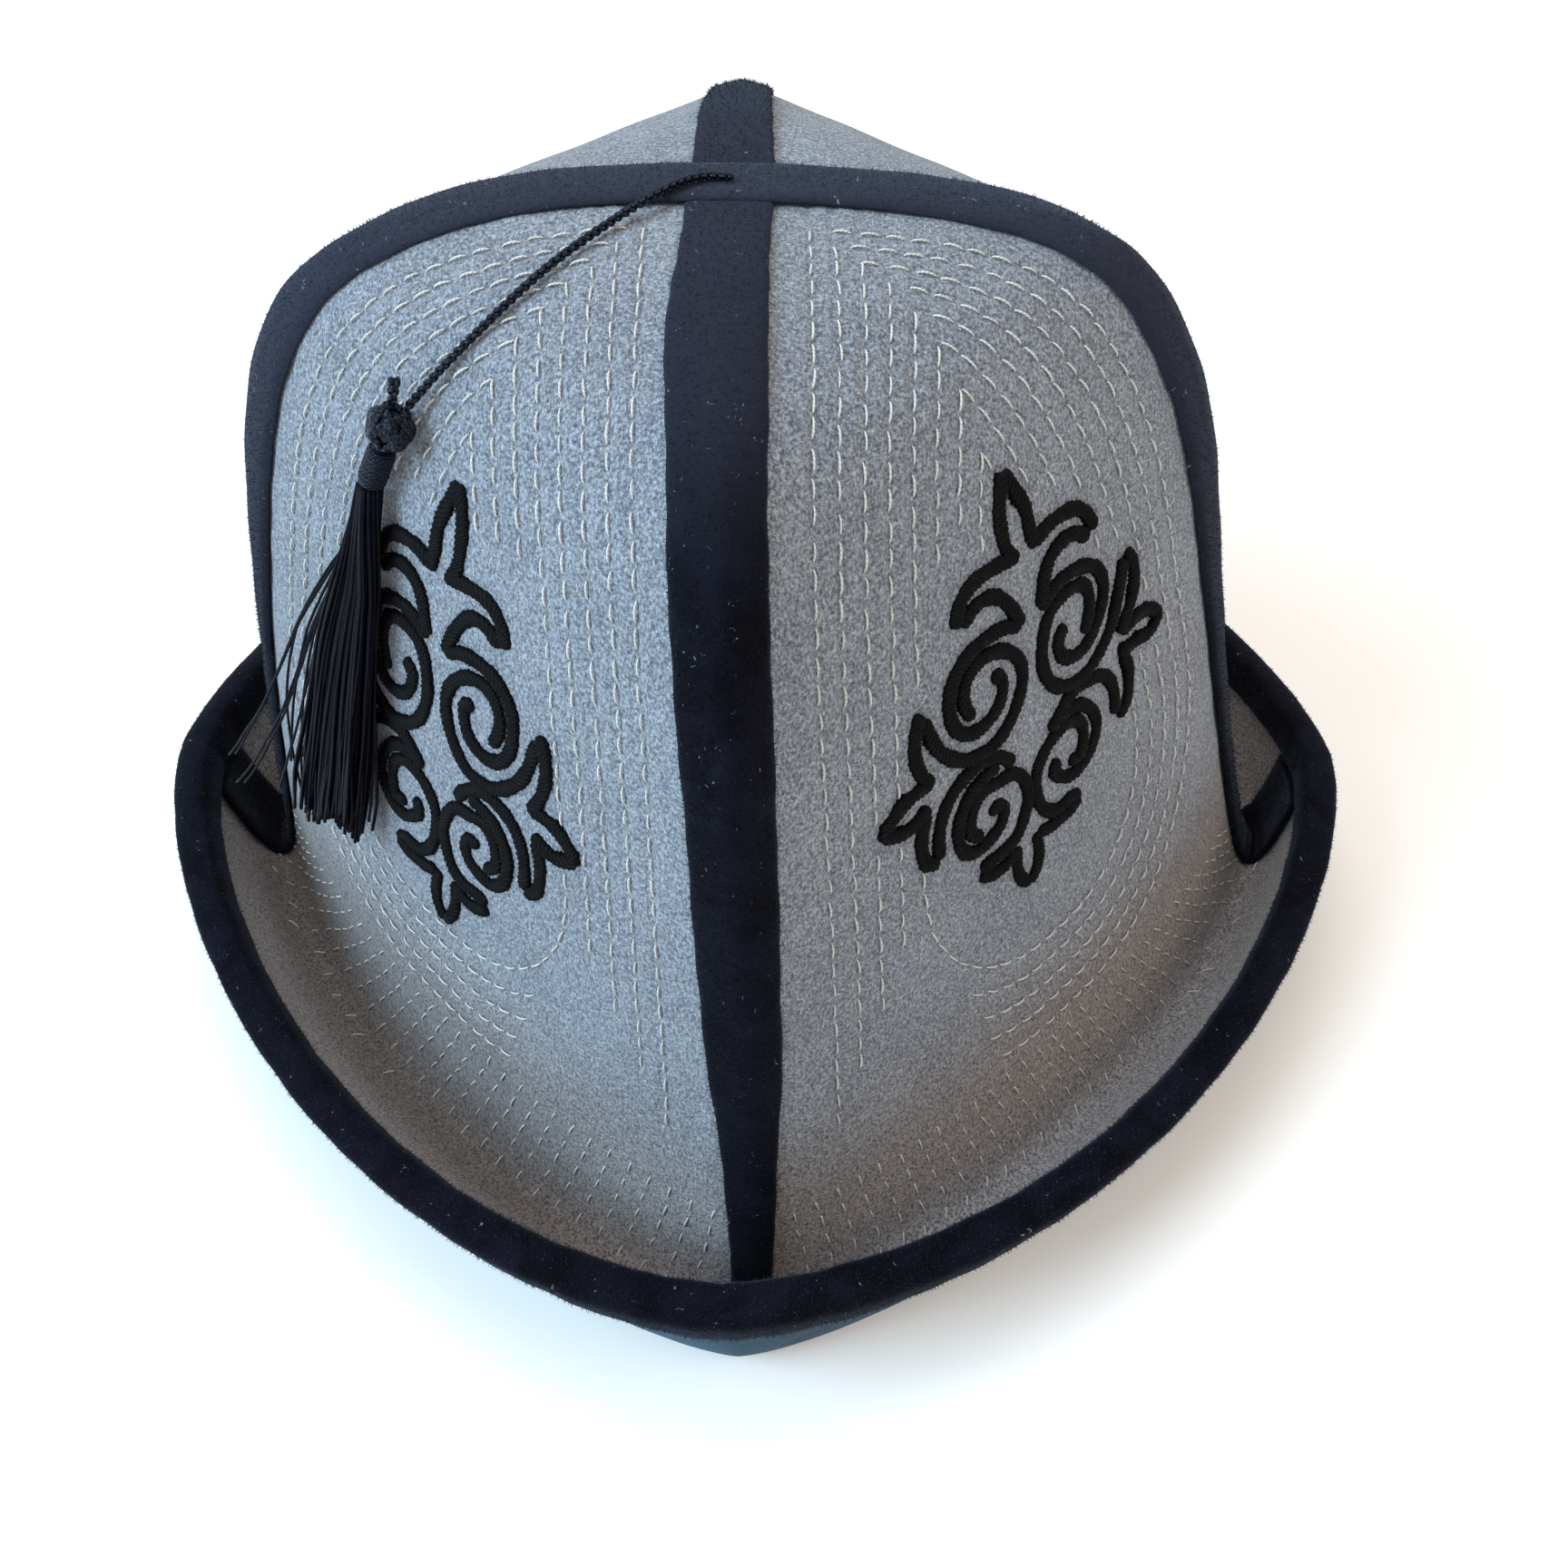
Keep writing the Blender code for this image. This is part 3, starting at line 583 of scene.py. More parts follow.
class Panel:
    """A felt panel: its surface by millimetres across from the front or back seam, and down."""

    def __init__(self, name, seam_angle, way):
        self.name, self.front = name, "front" in name
        self.places = np.interp(
            np.linspace(TOTAL - ROWS["to_rim"][0] * 1000, TOTAL, 2 * PANEL_ROWS),
            TOTAL - ROWS["to_rim"] * 1000, ROWS["place"])
        self.places = np.maximum(self.places, PANEL_START)
        self.down = TOTAL - row_value("to_rim", self.places) * 1000
        fine = np.linspace(0, 1, 360)
        self.angles, self.width = [], []
        self.shares = np.linspace(0, 1, PANEL_COLUMNS + 1)
        for place in self.places:
            angles = seam_angle + way * fine * np.pi / 2
            length = walked(felt_point(place, angles))
            self.width.append(length[-1] * 1000)
            self.angles.append(np.interp(self.shares, length / length[-1], angles))
        self.angles, self.width = np.array(self.angles), np.array(self.width)
        places = np.broadcast_to(self.places[:, None], self.angles.shape)
        self.grid = felt_point(places, self.angles)
        down = np.gradient(self.grid, axis=0)
        across = np.gradient(self.grid, axis=1)
        normal = unit(np.cross(across, down))
        outer = felt_point(places, self.angles, 0.001) - self.grid
        self.normal = normal * np.sign((normal * outer).sum(-1, keepdims=True))

    def read(self, grid, s, t):
        s, t = np.asarray(s, float), np.asarray(t, float)
        row = np.clip(np.interp(t, self.down, np.arange(len(self.down))), 0, len(self.down) - 1.001)
        width = np.interp(t, self.down, self.width)
        column = np.clip(s / width, 0, 1) * PANEL_COLUMNS
        column = np.clip(column, 0, PANEL_COLUMNS - 0.001)
        i, j = row.astype(int), column.astype(int)
        a, b = (row - i)[..., None], (column - j)[..., None]
        near = grid[i, j] * (1 - b) + grid[i, j + 1] * b
        far = grid[i + 1, j] * (1 - b) + grid[i + 1, j + 1] * b
        return near * (1 - a) + far * a

    def at(self, s, t, lift=0.0):
        normal = unit(self.read(self.normal, s, t))
        return self.read(self.grid, s, t) + np.asarray(lift)[..., None] * normal

    def width_at(self, t):
        return np.interp(t, self.down, self.width)


RIDGE_DROP = 0.0010


def ridge_drop(place, share):
    """How far felt and strip sink at a seam, so that the crown's corners are round, not sharp."""
    on_crown = np.clip((place - 0.6) / 1.4, 0, 1) * np.clip((8.6 - place) / 1.6, 0, 1)
    return RIDGE_DROP * on_crown * np.clip(1 - share, 0, 1)


# Beside the front or back seam the outer rows run straight on to these places and stop. From the
# side seam they turn along the foot as far as these millimetres from the front or back seam.
ROW_ENDS = (7.05, 6.75, 6.45, 6.05)
ROW_REACHES = (60.0, 57.0, 54.0, 51.0)
ROW_END_DOWN = TOTAL - row_value("to_rim", ROW_ENDS) * 1000


def row_level(s, t, width):
    """Distance from the seams that the quilting row through a point keeps, turned at the foot."""
    aside = np.minimum(s, width - s)
    foot = TURN_FOOT - t
    inner = np.hypot(np.maximum(TURN_RADIUS - aside, 0), np.maximum(TURN_RADIUS - foot, 0))
    turned = TURN_RADIUS - inner
    return np.where((aside < TURN_RADIUS) & (foot < TURN_RADIUS), turned, np.minimum(aside, foot))


def groove(panel, s, t, width):
    """How deep the quilting pulls the felt in, as a share."""
    s, t, width = np.broadcast_arrays(s, t, width)
    last = ROWS_FRONT if panel.front else ROWS_BACK
    pulls = []
    for straight in (True, False):
        level = s if straight else row_level(s, t, width)
        row = np.round((level - FIRST_ROW) / ROW_STEP).astype(int)
        far = np.abs(level - FIRST_ROW - row * ROW_STEP)
        outer = (row >= 0) & (row < len(ROW_ENDS))
        number = np.clip(row, 0, len(ROW_ENDS) - 1)
        if straight:
            there = outer & (t < ROW_END_DOWN[number])
        else:
            below = (s > np.array(ROW_REACHES)[number]) & (t > TURN_FOOT - TURN_RADIUS)
            there = outer & ((s > width / 2) | below)
            there |= (row >= len(ROW_ENDS)) & (row < last)
            if panel.front:
                there &= (row < ROWS_TURNED) | (t < ORNAMENT_TOP)
        pulls.append(np.where(there, np.exp(-(far / GROOVE_HALF) ** 2), 0.0))
    pull = np.maximum(*pulls)
    return pull if panel.front else np.where(t > BACK_ROWS_FROM, pull, 0.0)


def sheet(show, under, uv_show, uv_under):
    """A closed sheet between two grids of points, with UV on both faces."""
    rows, columns = show.shape[:2]
    count = rows * columns
    points = np.concatenate([show.reshape(-1, 3), under.reshape(-1, 3)])
    flat = np.concatenate([uv_show.reshape(-1, 2), uv_under.reshape(-1, 2)])
    i, j = np.meshgrid(np.arange(rows - 1), np.arange(columns - 1), indexing="ij")
    a = (i * columns + j).ravel()
    quads = np.stack([a, a + 1, a + columns + 1, a + columns], 1)
    edge = list(range(columns)) + [k * columns + columns - 1 for k in range(1, rows)]
    edge += [(rows - 1) * columns + k for k in range(columns - 2, -1, -1)]
    edge += [k * columns for k in range(rows - 2, 0, -1)]
    edge = np.array(edge)
    following = np.roll(edge, -1)
    wall = np.stack([following, edge, count + edge, count + following], 1)
    faces = np.concatenate([quads, count + quads[:, ::-1], wall])
    first = points[faces[:, 0]]
    volume = sum((np.cross(points[faces[:, k]], points[faces[:, k + 1]]) * first).sum()
                 for k in (1, 2))
    if volume < 0:
        faces = faces[:, ::-1]
    return points, faces.tolist(), flat[faces]


def felt_look():
    """Heather wool felt: pale and dark fibres matted together, with a little fuzz."""
    look = Look("heather_felt", Roughness=0.93, Sheen_Weight=0.22, Sheen_Roughness=0.55,
                Specular_IOR_Level=0.2)
    clouds = look.noise(look.place((1.0, 1.0, 1.0)), 55.0, 3.0, 0.55)
    fine = look.noise(look.place((1.0, 1.0, 1.0)), 1650.0, 3.0, 0.75)
    pale, dark = [], []
    for turn, stretch in ((0.4, 0.30), (1.5, 0.34), (2.5, 0.28)):
        strands = look.noise(look.place((1.0, stretch, 1.0), turn, cloth=True), 460.0, 1.0, 0.5, 0.6)
        pale.append(strands.between(0.56, 0.70))
        other = look.noise(look.place((stretch, 1.0, 1.0), turn + 0.7, cloth=True), 430.0, 1.0, 0.5, 0.6)
        dark.append(other.between(0.57, 0.70))
    pales = (pale[0] + pale[1] + pale[2]) * 0.55
    darks = (dark[0] + dark[1] + dark[2]) * 0.55
    ground = look.mix(clouds.between(0.3, 0.7), (0.195, 0.214, 0.247, 1.0), (0.242, 0.267, 0.305, 1.0))
    # Painted warm light: the fold and the brim are a little warmer and paler, as a warm lamp would light them
    painted_warm_light = 1.0 - look.part_of(look.place((1.0, 1.0, 1.0)), 2).between(0.016, 0.055)
    ground = look.mix(painted_warm_light * 0.66, ground, (0.46, 0.345, 0.270, 1.0))
    ground = look.mix((1.0 - fine).between(0.44, 0.66), ground, (0.062, 0.069, 0.100, 1.0))
    ground = look.mix(fine.between(0.50, 0.74), ground, (0.475, 0.52, 0.578, 1.0))
    with_dark = look.mix((darks * 0.5).between(0.0, 1.0), ground, (0.042, 0.048, 0.074, 1.0))
    colour = look.mix((pales * 0.45).between(0.0, 1.0), with_dark, (0.55, 0.595, 0.65, 1.0))
    # Painted shadow darkens the fold, most on the left, where the brim turns away from the light on the left
    down_panel = look.part_of(look.place((1.0, 1.0, 1.0), cloth=True), 1)
    painted_shadow_band = down_panel.between(0.90, 1.02) * (1.0 - down_panel.between(1.12, 1.19))
    painted_shadow_side = 1.0 - look.part_of(look.place((1.0, 1.0, 1.0)), 0).between(-0.055, -0.005)
    colour = look.mix(painted_shadow_band * painted_shadow_side * 0.42, colour, (0.045, 0.036, 0.028, 1.0))
    look.join(look.shader.inputs["Base Color"], colour)
    look.bump(pales * 0.5 + fine * 0.7 + clouds * 1.5, 0.00028)
    return look.material


felt = felt_look()
PANELS = [
    Panel("panel_front_left", 1.5 * np.pi, -1), Panel("panel_front_right", 1.5 * np.pi, 1),
    Panel("panel_back_left", 0.5 * np.pi, 1), Panel("panel_back_right", 0.5 * np.pi, -1),
]
CLOTH_UV = 0.005         # UV per millimetre on the felt
for panel in PANELS:
    keep = np.unique(np.append(np.arange(0, len(panel.places), 2), len(panel.places) - 1))
    keep = keep[panel.places[keep] >= PANEL_START]
    first = np.flatnonzero(panel.places[keep] <= PANEL_START)
    keep = keep[(first[-1] if len(first) else 0):]
    places = panel.places[keep][:, None] * np.ones(PANEL_COLUMNS + 1)
    angles = panel.angles[keep].copy()
    down, width = panel.down[keep][:, None], panel.width[keep][:, None]
    across = width * panel.shares
    # The panel's edges stop half a gap short of the seams
    ease = (np.abs(angles[:, -1:] - angles[:, :1]))
    for side in (0, -1):
        inward = 1 if side == 0 else -1
        edge_share = np.clip(0.5 * GAP * 1000 / width[:, 0], 0, 0.4)
        where = edge_share if side == 0 else 1 - edge_share
        for k in range(len(keep)):
            angles[k, side] = np.interp(where[k], panel.shares, panel.angles[keep[k]])
    seam_share = np.minimum(across, width - across) / (STRIP_HALF * 1000)
    pull = GROOVE_DEPTH * groove(panel, across, down, width)
    pull = pull * np.clip((TOTAL - 8 - down) / 6, 0, 1)
    lumps = 0.00012 * np.sin(across * 0.21 + down * 0.13) * np.sin(down * 0.17 - across * 0.07)
    show = felt_point(places, angles, -pull + lumps - 0.00012 - ridge_drop(places, seam_share))
    under = felt_point(places, angles, -FELT)
    uv = np.stack(np.broadcast_arrays(across, down + 0 * across), -1) * CLOTH_UV
    shell = piece(panel.name + "_felt", [sheet(show, under, uv, uv + 3.0)], felt)
    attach(shell, "root")
    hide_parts(panel.name)


# Ornament: a ram's-horn scroll on each front panel, raised about 1 mm, in black thread laid
# slantwise over a filler cord. The chart is in millimetres across and down the right panel.
STROKE_HALF, STROKE_HIGH = 1.58, 0.00090
STROKE_STEP = 0.30
SLANT_PITCH = 1.15       # one bunch of slanted threads
SLANT = 1.2              # how far its ends lie ahead of and behind its middle
CHART = (
    ((61.2, 71.5), (60.2, 76.5), (60.8, 80.5), (62.3, 84.5), (65, 87)),
    ((61.2, 71.5), (64.3, 75.5), (67, 79.5), (68.3, 83.5), (70, 87)),
    ((65, 86.5), (61, 85.8), (56, 85.5), (52, 86.3), (49.5, 89), (49.3, 91.5)),
    ((50.5, 91.8), (53.5, 90), (57.5, 90), (61, 92), (64, 95.5), (66.3, 99)),
    ((65.8, 99), (62, 97.5), (57, 96.8), (52, 97.5), (48.3, 100), (47, 104), (47.8, 108),
     (50, 111), (53, 112.5), (56.5, 112.5), (59.5, 111), (60.8, 108.5), (60, 105.5), (58, 105.3)),
    ((53, 109.5), (51, 106.5), (50.8, 103), (53, 100.5), (57, 100), (61, 101.3), (64.5, 104),
     (66.3, 107.5), (65.8, 111.5), (63.5, 115), (60, 117.5), (56, 118), (51.5, 117),
     (47.5, 114.5), (44.5, 111.5), (42.5, 108), (40.8, 103.5)),
    ((40, 101.8), (38.3, 107), (39, 111.5), (41, 115), (42.3, 116.5)),
    ((42, 116), (37.5, 116), (33, 117.5), (31, 119.5), (33.5, 121.5), (37.5, 121.8), (41.5, 120.5)),
    ((41, 121.5), (39.5, 124.5), (39.3, 128), (40.5, 131.5), (43.3, 133)),
    ((43.8, 132.5), (43.5, 128.5), (44.5, 124.5), (47, 121.5), (50.5, 120), (54.5, 119.5),
     (58.5, 120.5), (61.5, 122.5), (63.5, 124.5)),
    ((59.5, 122.5), (55, 123), (51.5, 124.5), (49, 127.5), (48.5, 131.5), (50, 135), (53, 136.8),
     (57, 136.5), (60, 135), (60.8, 132.5), (59, 130.8), (57, 131.5)),
    ((55, 134.5), (52, 132.5), (52, 128.5), (55, 125.5), (59, 126), (63, 126.5), (66.5, 129.5),
     (67.8, 133.5), (66.8, 137.5), (64.5, 140.5), (61, 141.5), (57, 141.5), (54.5, 141.8)),
    ((54.3, 143), (57.5, 144.5), (61, 144.8), (64.5, 143.5)),
    ((64.5, 143), (64.5, 147), (66, 151), (68.3, 153.3)),
    ((70, 143.5), (71, 147), (70.5, 151), (68.3, 153.3)),
    ((69.5, 86.5), (72, 85.3), (77, 84.8), (81, 85.5), (84.5, 88), (87, 91.5)),
    ((85, 92.3), (81.5, 90), (77.5, 89.5), (74, 91), (72.3, 94.5), (71.5, 98.5)),
    ((71.5, 99), (75, 97), (80, 96.3), (85, 97.5), (89, 100.5), (90.5, 105), (89, 109.5),
     (86, 112.5), (82.5, 113.3), (79, 112), (77, 109.5), (77, 107), (79, 105.8)),
    ((84.5, 110.3), (85.8, 107.5), (86, 104.5), (84.5, 101), (81, 99.5), (77.5, 99.5), (74, 101),
     (72.3, 104.5), (72, 108.5), (73.5, 113), (76, 116), (79.5, 118), (84, 118.8), (88.5, 117.5),
     (92, 115), (94.5, 111.5), (96, 106.5), (97, 102)),
    ((97.5, 101.5), (99, 102.5), (100.8, 106.5), (100.5, 111), (98, 115), (97, 117)),
    ((97.5, 117), (102, 116.3), (107, 117.3), (110.3, 120.5), (107.5, 122.3), (105, 121.8),
     (101, 121.3), (97, 121)),
    ((98, 122), (100, 125), (100.5, 129), (99.5, 133), (97, 134.5)),
    ((95.8, 133), (95.5, 129.5), (94.5, 126), (92, 123), (88, 121), (84, 120.3), (80, 120.5),
     (77, 122.5), (74.5, 124.5)),
    ((77, 123.5), (81, 123.3), (85, 125), (88, 128), (89.3, 131.5), (88, 135), (85, 137.3),
     (81, 137.5), (78, 136), (76, 133.5), (77, 131.5)),
    ((80.5, 134.3), (84, 134.5), (85, 131.5), (84, 128), (81, 126), (77, 125.8), (73, 127.5),
     (70.5, 130.5), (70.3, 134.5), (71.5, 138), (74, 141), (77.5, 142.5), (81.5, 142.5), (84, 143.8)),
    ((84, 143.8), (81, 145), (77, 145), (73, 144.5), (71, 143.5)),
)
# The left panel's scroll stands a little lower and wider: new across and new down from the old
LEFT_CHART = np.array(((0.968, 0.133, -8.9), (0.028, 1.161, -11.9)))


def stroke(panel, line, number):
    """A raised stroke along a line of the chart."""
    line = smooth_line(line, STROKE_STEP)
    centre = panel.at(line[:, 0], line[:, 1])
    normal = unit(panel.read(panel.normal, line[:, 0], line[:, 1]))
    ahead = unit(np.gradient(centre, axis=0))
    side = unit(np.cross(normal, ahead))
    length = walked(centre) * 1000
    stations = np.linspace(-1, 1, 9)
    end = np.minimum(length, length[-1] - length)
    blunt = np.sqrt(np.clip(1 - (1 - np.clip(end / 1.3, 0, 1)) ** 2, 0, 1))
    lean = length[:, None] + stations * SLANT
    threads = np.sin(lean * 2 * np.pi / SLANT_PITCH + number)
    wobble = 1 + 0.07 * np.sin(length * 0.9 + number * 2.0) + 0.05 * np.sin(length * 2.3 + number)
    half = STROKE_HALF * (0.25 + 0.75 * blunt) * wobble
    reach = half[:, None] * (1 + 0.13 * threads * np.abs(stations) ** 2)
    crown = np.clip(1 - np.abs(stations) ** 2.6, 0, 1) ** 0.7
    height = STROKE_HIGH * (0.35 + 0.65 * blunt)[:, None] * crown * (1 + 0.27 * threads)
    top = (centre[:, None] + (reach * stations / 1000)[..., None] * side[:, None]
           + (height - 0.00045 * (crown < 0.01))[..., None] * normal[:, None])
    rows, columns = top.shape[:2]
    loops = np.concatenate([top, centre[:, None] - 0.00055 * normal[:, None]], 1)
    columns += 1
    faces, uvs = [], []
    for i in range(rows - 1):
        for j in range(columns):
            k = (j + 1) % columns
            faces.append((i * columns + j, (i + 1) * columns + j, (i + 1) * columns + k, i * columns + k))
            u, v = length[i] / 10, length[i + 1] / 10
            w, x = j / columns, (j + 1) / columns
            uvs.append(((u, w), (v, w), (v, x), (u, x)))
    faces.append(tuple(range(columns)))
    faces.append(tuple(reversed(range((rows - 1) * columns, rows * columns))))
    uvs += [((0.0, 0.0),) * columns, ((0.0, 0.0),) * columns]
    return loops.reshape(-1, 3), faces, uvs


# Two finer threads to a bunch, at the same slant as its modelled form
ornament_thread = thread_look("ornament_thread", (0.0006, 0.0006, 0.0008), (0.008, 0.0078, 0.009),
                              0.55, 0.0, 5.0 * SLANT / SLANT_PITCH, SLANT_PITCH / 20, 1.7, 0.10)
drawn = {}               # points along each panel's strokes, which the quilting keeps clear of
for panel in PANELS[:2]:
    strokes, drawn[panel.name] = [], []
    for number, line in enumerate(CHART):
        line = np.array(line, float)
        if panel.name == "panel_front_left":
            line = line @ LEFT_CHART[:, :2].T + LEFT_CHART[:, 2]
        strokes.append(stroke(panel, line, number))
        drawn[panel.name].append(smooth_line(line, 0.8))
    ornament = piece(panel.name + "_ornament", strokes, ornament_thread)
    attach(ornament, "root")


# Quilting: cream thread in a running stitch, 3 mm stitches about 4 mm apart. The rows follow
# the seams and turn under the ornament, and short slanted rows hold the brim.
STITCH_LENGTH, STITCH_RADIUS = 0.0033, 0.00019
STITCH_PITCH = 4.5      # millimetres from one stitch to the next
CLEAR = 2.6              # millimetres left clear beside the ornament
BRIM_FIRST, BRIM_STEP, BRIM_PITCH = 8.0, 4.9, 5.5
BRIM_TOP, BRIM_BOTTOM = 194.0, 222.0
BRIM_SINK = 0.03         # the rows lie nearer the rim toward the side seams


def stitch_tree():
    """Sets one stitch on every point of a guide, turned as the guide's points say."""
    tree = bpy.data.node_groups.new("running_stitch", "GeometryNodeTree")
    ports = {}
    for name, kind in (("Geometry", "Geometry"), ("Stitch", "Object"), ("Shortest", "Float"),
                       ("Longest", "Float"), ("Seed", "Int"), ("Thread", "Material")):
        ports[name] = tree.interface.new_socket(name, in_out="INPUT", socket_type="NodeSocket" + kind)
    tree.interface.new_socket("Geometry", in_out="OUTPUT", socket_type="NodeSocketGeometry")
    given = tree.nodes.new("NodeGroupInput").outputs
    turn = tree.nodes.new("GeometryNodeInputNamedAttribute")
    turn.data_type = "QUATERNION"
    turn.inputs["Name"].default_value = "turn"
    stitch = tree.nodes.new("GeometryNodeObjectInfo")
    scale = tree.nodes.new("FunctionNodeRandomValue")
    scale.data_type = "FLOAT"
    put = tree.nodes.new("GeometryNodeInstanceOnPoints")
    real = tree.nodes.new("GeometryNodeRealizeInstances")
    dyed = tree.nodes.new("GeometryNodeSetMaterial")
    ready = tree.nodes.new("NodeGroupOutput")
    turned = next(out for out in turn.outputs if out.enabled and out.name == "Attribute")
    sized = next(out for out in scale.outputs if out.enabled)
    smallest, largest = [port for port in scale.inputs if port.enabled and port.name in ("Min", "Max")]
    for source, target in (
        (given["Geometry"], put.inputs["Points"]), (given["Stitch"], stitch.inputs["Object"]),
        (stitch.outputs["Geometry"], put.inputs["Instance"]), (turned, put.inputs["Rotation"]),
        (given["Shortest"], smallest), (given["Longest"], largest),
        (given["Seed"], scale.inputs["Seed"]), (sized, put.inputs["Scale"]),
        (put.outputs["Instances"], real.inputs["Geometry"]),
        (real.outputs["Geometry"], dyed.inputs["Geometry"]),
        (given["Thread"], dyed.inputs["Material"]), (dyed.outputs["Geometry"], ready.inputs[0]),
    ):
        tree.links.new(source, target)
    return tree, ports


def turns_of(forward, normal):
    """Quaternions that turn X to a forward direction and Z to a normal."""
    forward = unit(forward)
    side = unit(np.cross(normal, forward))
    normal = np.cross(forward, side)
    turned = []
    for x, y, z in zip(forward, side, normal):
        turned.append(Matrix((x, y, z)).transposed().to_quaternion())
    return turned


def scattered(name, points, forward, normal, unit_shape, shortest, longest, seed, made_of):
    """A plain mesh with the unit shape put on each point by the stitch tree."""
    guide_mesh = bpy.data.meshes.new(name)
    guide_mesh.from_pydata(np.asarray(points).tolist(), [], [])
    turn = guide_mesh.attributes.new("turn", "QUATERNION", "POINT")
    turn.data.foreach_set("value", [number for one in turns_of(forward, normal) for number in one])
    guide = bpy.data.objects.new(name, guide_mesh)
    bpy.context.scene.collection.objects.link(guide)
    modifier = guide.modifiers.new("stitches", "NODES")
    modifier.node_group = STITCH_TREE
    for port, value in (("Stitch", unit_shape), ("Shortest", shortest), ("Longest", longest),
                        ("Seed", seed), ("Thread", made_of)):
        modifier[STITCH_PORTS[port].identifier] = value
    bpy.context.view_layer.update()
    evaluated = guide.evaluated_get(bpy.context.evaluated_depsgraph_get())
    mesh = bpy.data.meshes.new_from_object(evaluated)
    guide.modifiers.remove(modifier)
    guide.data = mesh
    mesh.name = name
    return guide


STITCH_TREE, STITCH_PORTS = stitch_tree()
cream_thread = thread_look("cream_thread", (0.50, 0.48, 0.43), (0.87, 0.85, 0.79), 0.75, 0.3, 1, 0.07)
along = np.linspace(-1, 1, 6)
arch = np.stack([along * STITCH_LENGTH / 2, 0 * along,
                 0.00014 - 0.00046 * np.abs(along) ** 3], 1)
stitch_shape = piece("one_stitch", [thread(arch, STITCH_RADIUS * (1 - 0.25 * along ** 4), 6)], cream_thread)


def crown_row(panel, level, number):
    """The lines of one quilting row of a panel, in millimetres across and down."""
    downs = np.linspace(0, TURN_FOOT - TURN_RADIUS, 400)
    top = np.interp(2 * level, panel.width[:200], panel.down[:200])
    if not panel.front:
        top = max(top, BACK_ROWS_FROM)
    if panel.front and number >= ROWS_TURNED:
        stop = ORNAMENT_TOP + (1.5, -1.0, 2.5)[number - ROWS_TURNED]
        downs = np.linspace(top, max(stop, top + 4), 40)
        return [np.stack([np.full(40, level), downs], 1),
                np.stack([panel.width_at(downs) - level, downs], 1)]
    downs = np.linspace(top, TURN_FOOT - TURN_RADIUS, 300)
    turn = np.linspace(0, np.pi / 2, 60)
    bend = TURN_RADIUS - level
    across = TURN_RADIUS - bend * np.cos(turn)
    below = TURN_FOOT - TURN_RADIUS + bend * np.sin(turn)
    half = np.concatenate([np.stack([np.full(300, level), downs], 1), np.stack([across, below], 1)])
    other = half.copy()
    other[:, 0] = panel.width_at(half[:, 1]) - half[:, 0]
    if number < len(ROW_ENDS):
        straight = np.linspace(top, ROW_END_DOWN[number], 300)
        foot = half[300:][half[300:, 0] > ROW_REACHES[number]]
        return [np.stack([np.full(300, level), straight], 1), np.concatenate([foot, other[::-1]])]
    return [np.concatenate([half, other[::-1]])]


def brim_rows(panel):
    lines = []
    start = BRIM_FIRST
    while start < panel.width_at(BRIM_TOP) - 6:
        across, down = [start], [BRIM_TOP + BRIM_SINK * start]
        while down[-1] < min(BRIM_BOTTOM + BRIM_SINK * start, TOTAL - BINDING_DEPTH * 1000 - 2.0):
            lean = 0.12 + 0.006 * across[-1] + 0.35 * (max(across[-1] - 85, 0) / 45) ** 2
            across.append(across[-1] + 0.5 * lean)
            down.append(down[-1] + 0.5)
        line = np.stack([across, down], 1)
        line = line[line[:, 0] < panel.width_at(line[:, 1]) - 6]
        if len(line) > 8:
            lines.append(line)
        start += BRIM_STEP
    return lines


draw = np.random.default_rng(5)
for number, panel in enumerate(PANELS):
    points, forward, normal = [], [], []
    rows = []
    marks = np.concatenate(drawn[panel.name]) if panel.front else None
    for row in range(ROWS_FRONT if panel.front else ROWS_BACK):
        rows += [(line, STITCH_PITCH) for line in crown_row(panel, FIRST_ROW + row * ROW_STEP, row)]
    rows += [(line, BRIM_PITCH) for line in brim_rows(panel)]
    for line, pitch in rows:
        surface = panel.at(line[:, 0], line[:, 1])
        length = walked(surface)
        at = np.arange(draw.uniform(1.2, 2.5), length[-1] * 1000 - 1.0, pitch)
        at = (at + draw.normal(0, 0.22, len(at))) / 1000
        s = np.interp(at, length, line[:, 0]) + draw.normal(0, 0.10, len(at))
        t = np.interp(at, length, line[:, 1])
        ahead = unit(np.stack([np.interp(at + 0.0004, length, column)
                               - np.interp(at - 0.0004, length, column) for column in surface.T], 1))
        if panel.front:
            far = np.hypot(s[:, None] - marks[:, 0], t[:, None] - marks[:, 1]).min(1) > CLEAR
            s, t, ahead = s[far], t[far], ahead[far]
        sunk = -0.00003 if pitch == BRIM_PITCH else -0.00012
        points.append(panel.at(s, t, np.full(len(s), sunk)))
        normal.append(unit(panel.read(panel.normal, s, t)))
        side = unit(np.cross(normal[-1], ahead))
        forward.append(ahead + draw.normal(0, 0.06, (len(s), 1)) * side)
    stitches = scattered(panel.name + "_stitches", np.concatenate(points), np.concatenate(forward),
                         np.concatenate(normal), stitch_shape, 0.86, 1.1, number, cream_thread)
    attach(stitches, "root")
bpy.data.objects.remove(stitch_shape)


# Brim facing: one ring of dark teal velvet, cut on the bias, sewn inside the crown's mouth
# and brought round the fold and up the outer face of the brim to the binding.
FACING_START = 8.5
RING = 320
facing_show = -(FELT + GAP)
facing_under = facing_show - VELVET


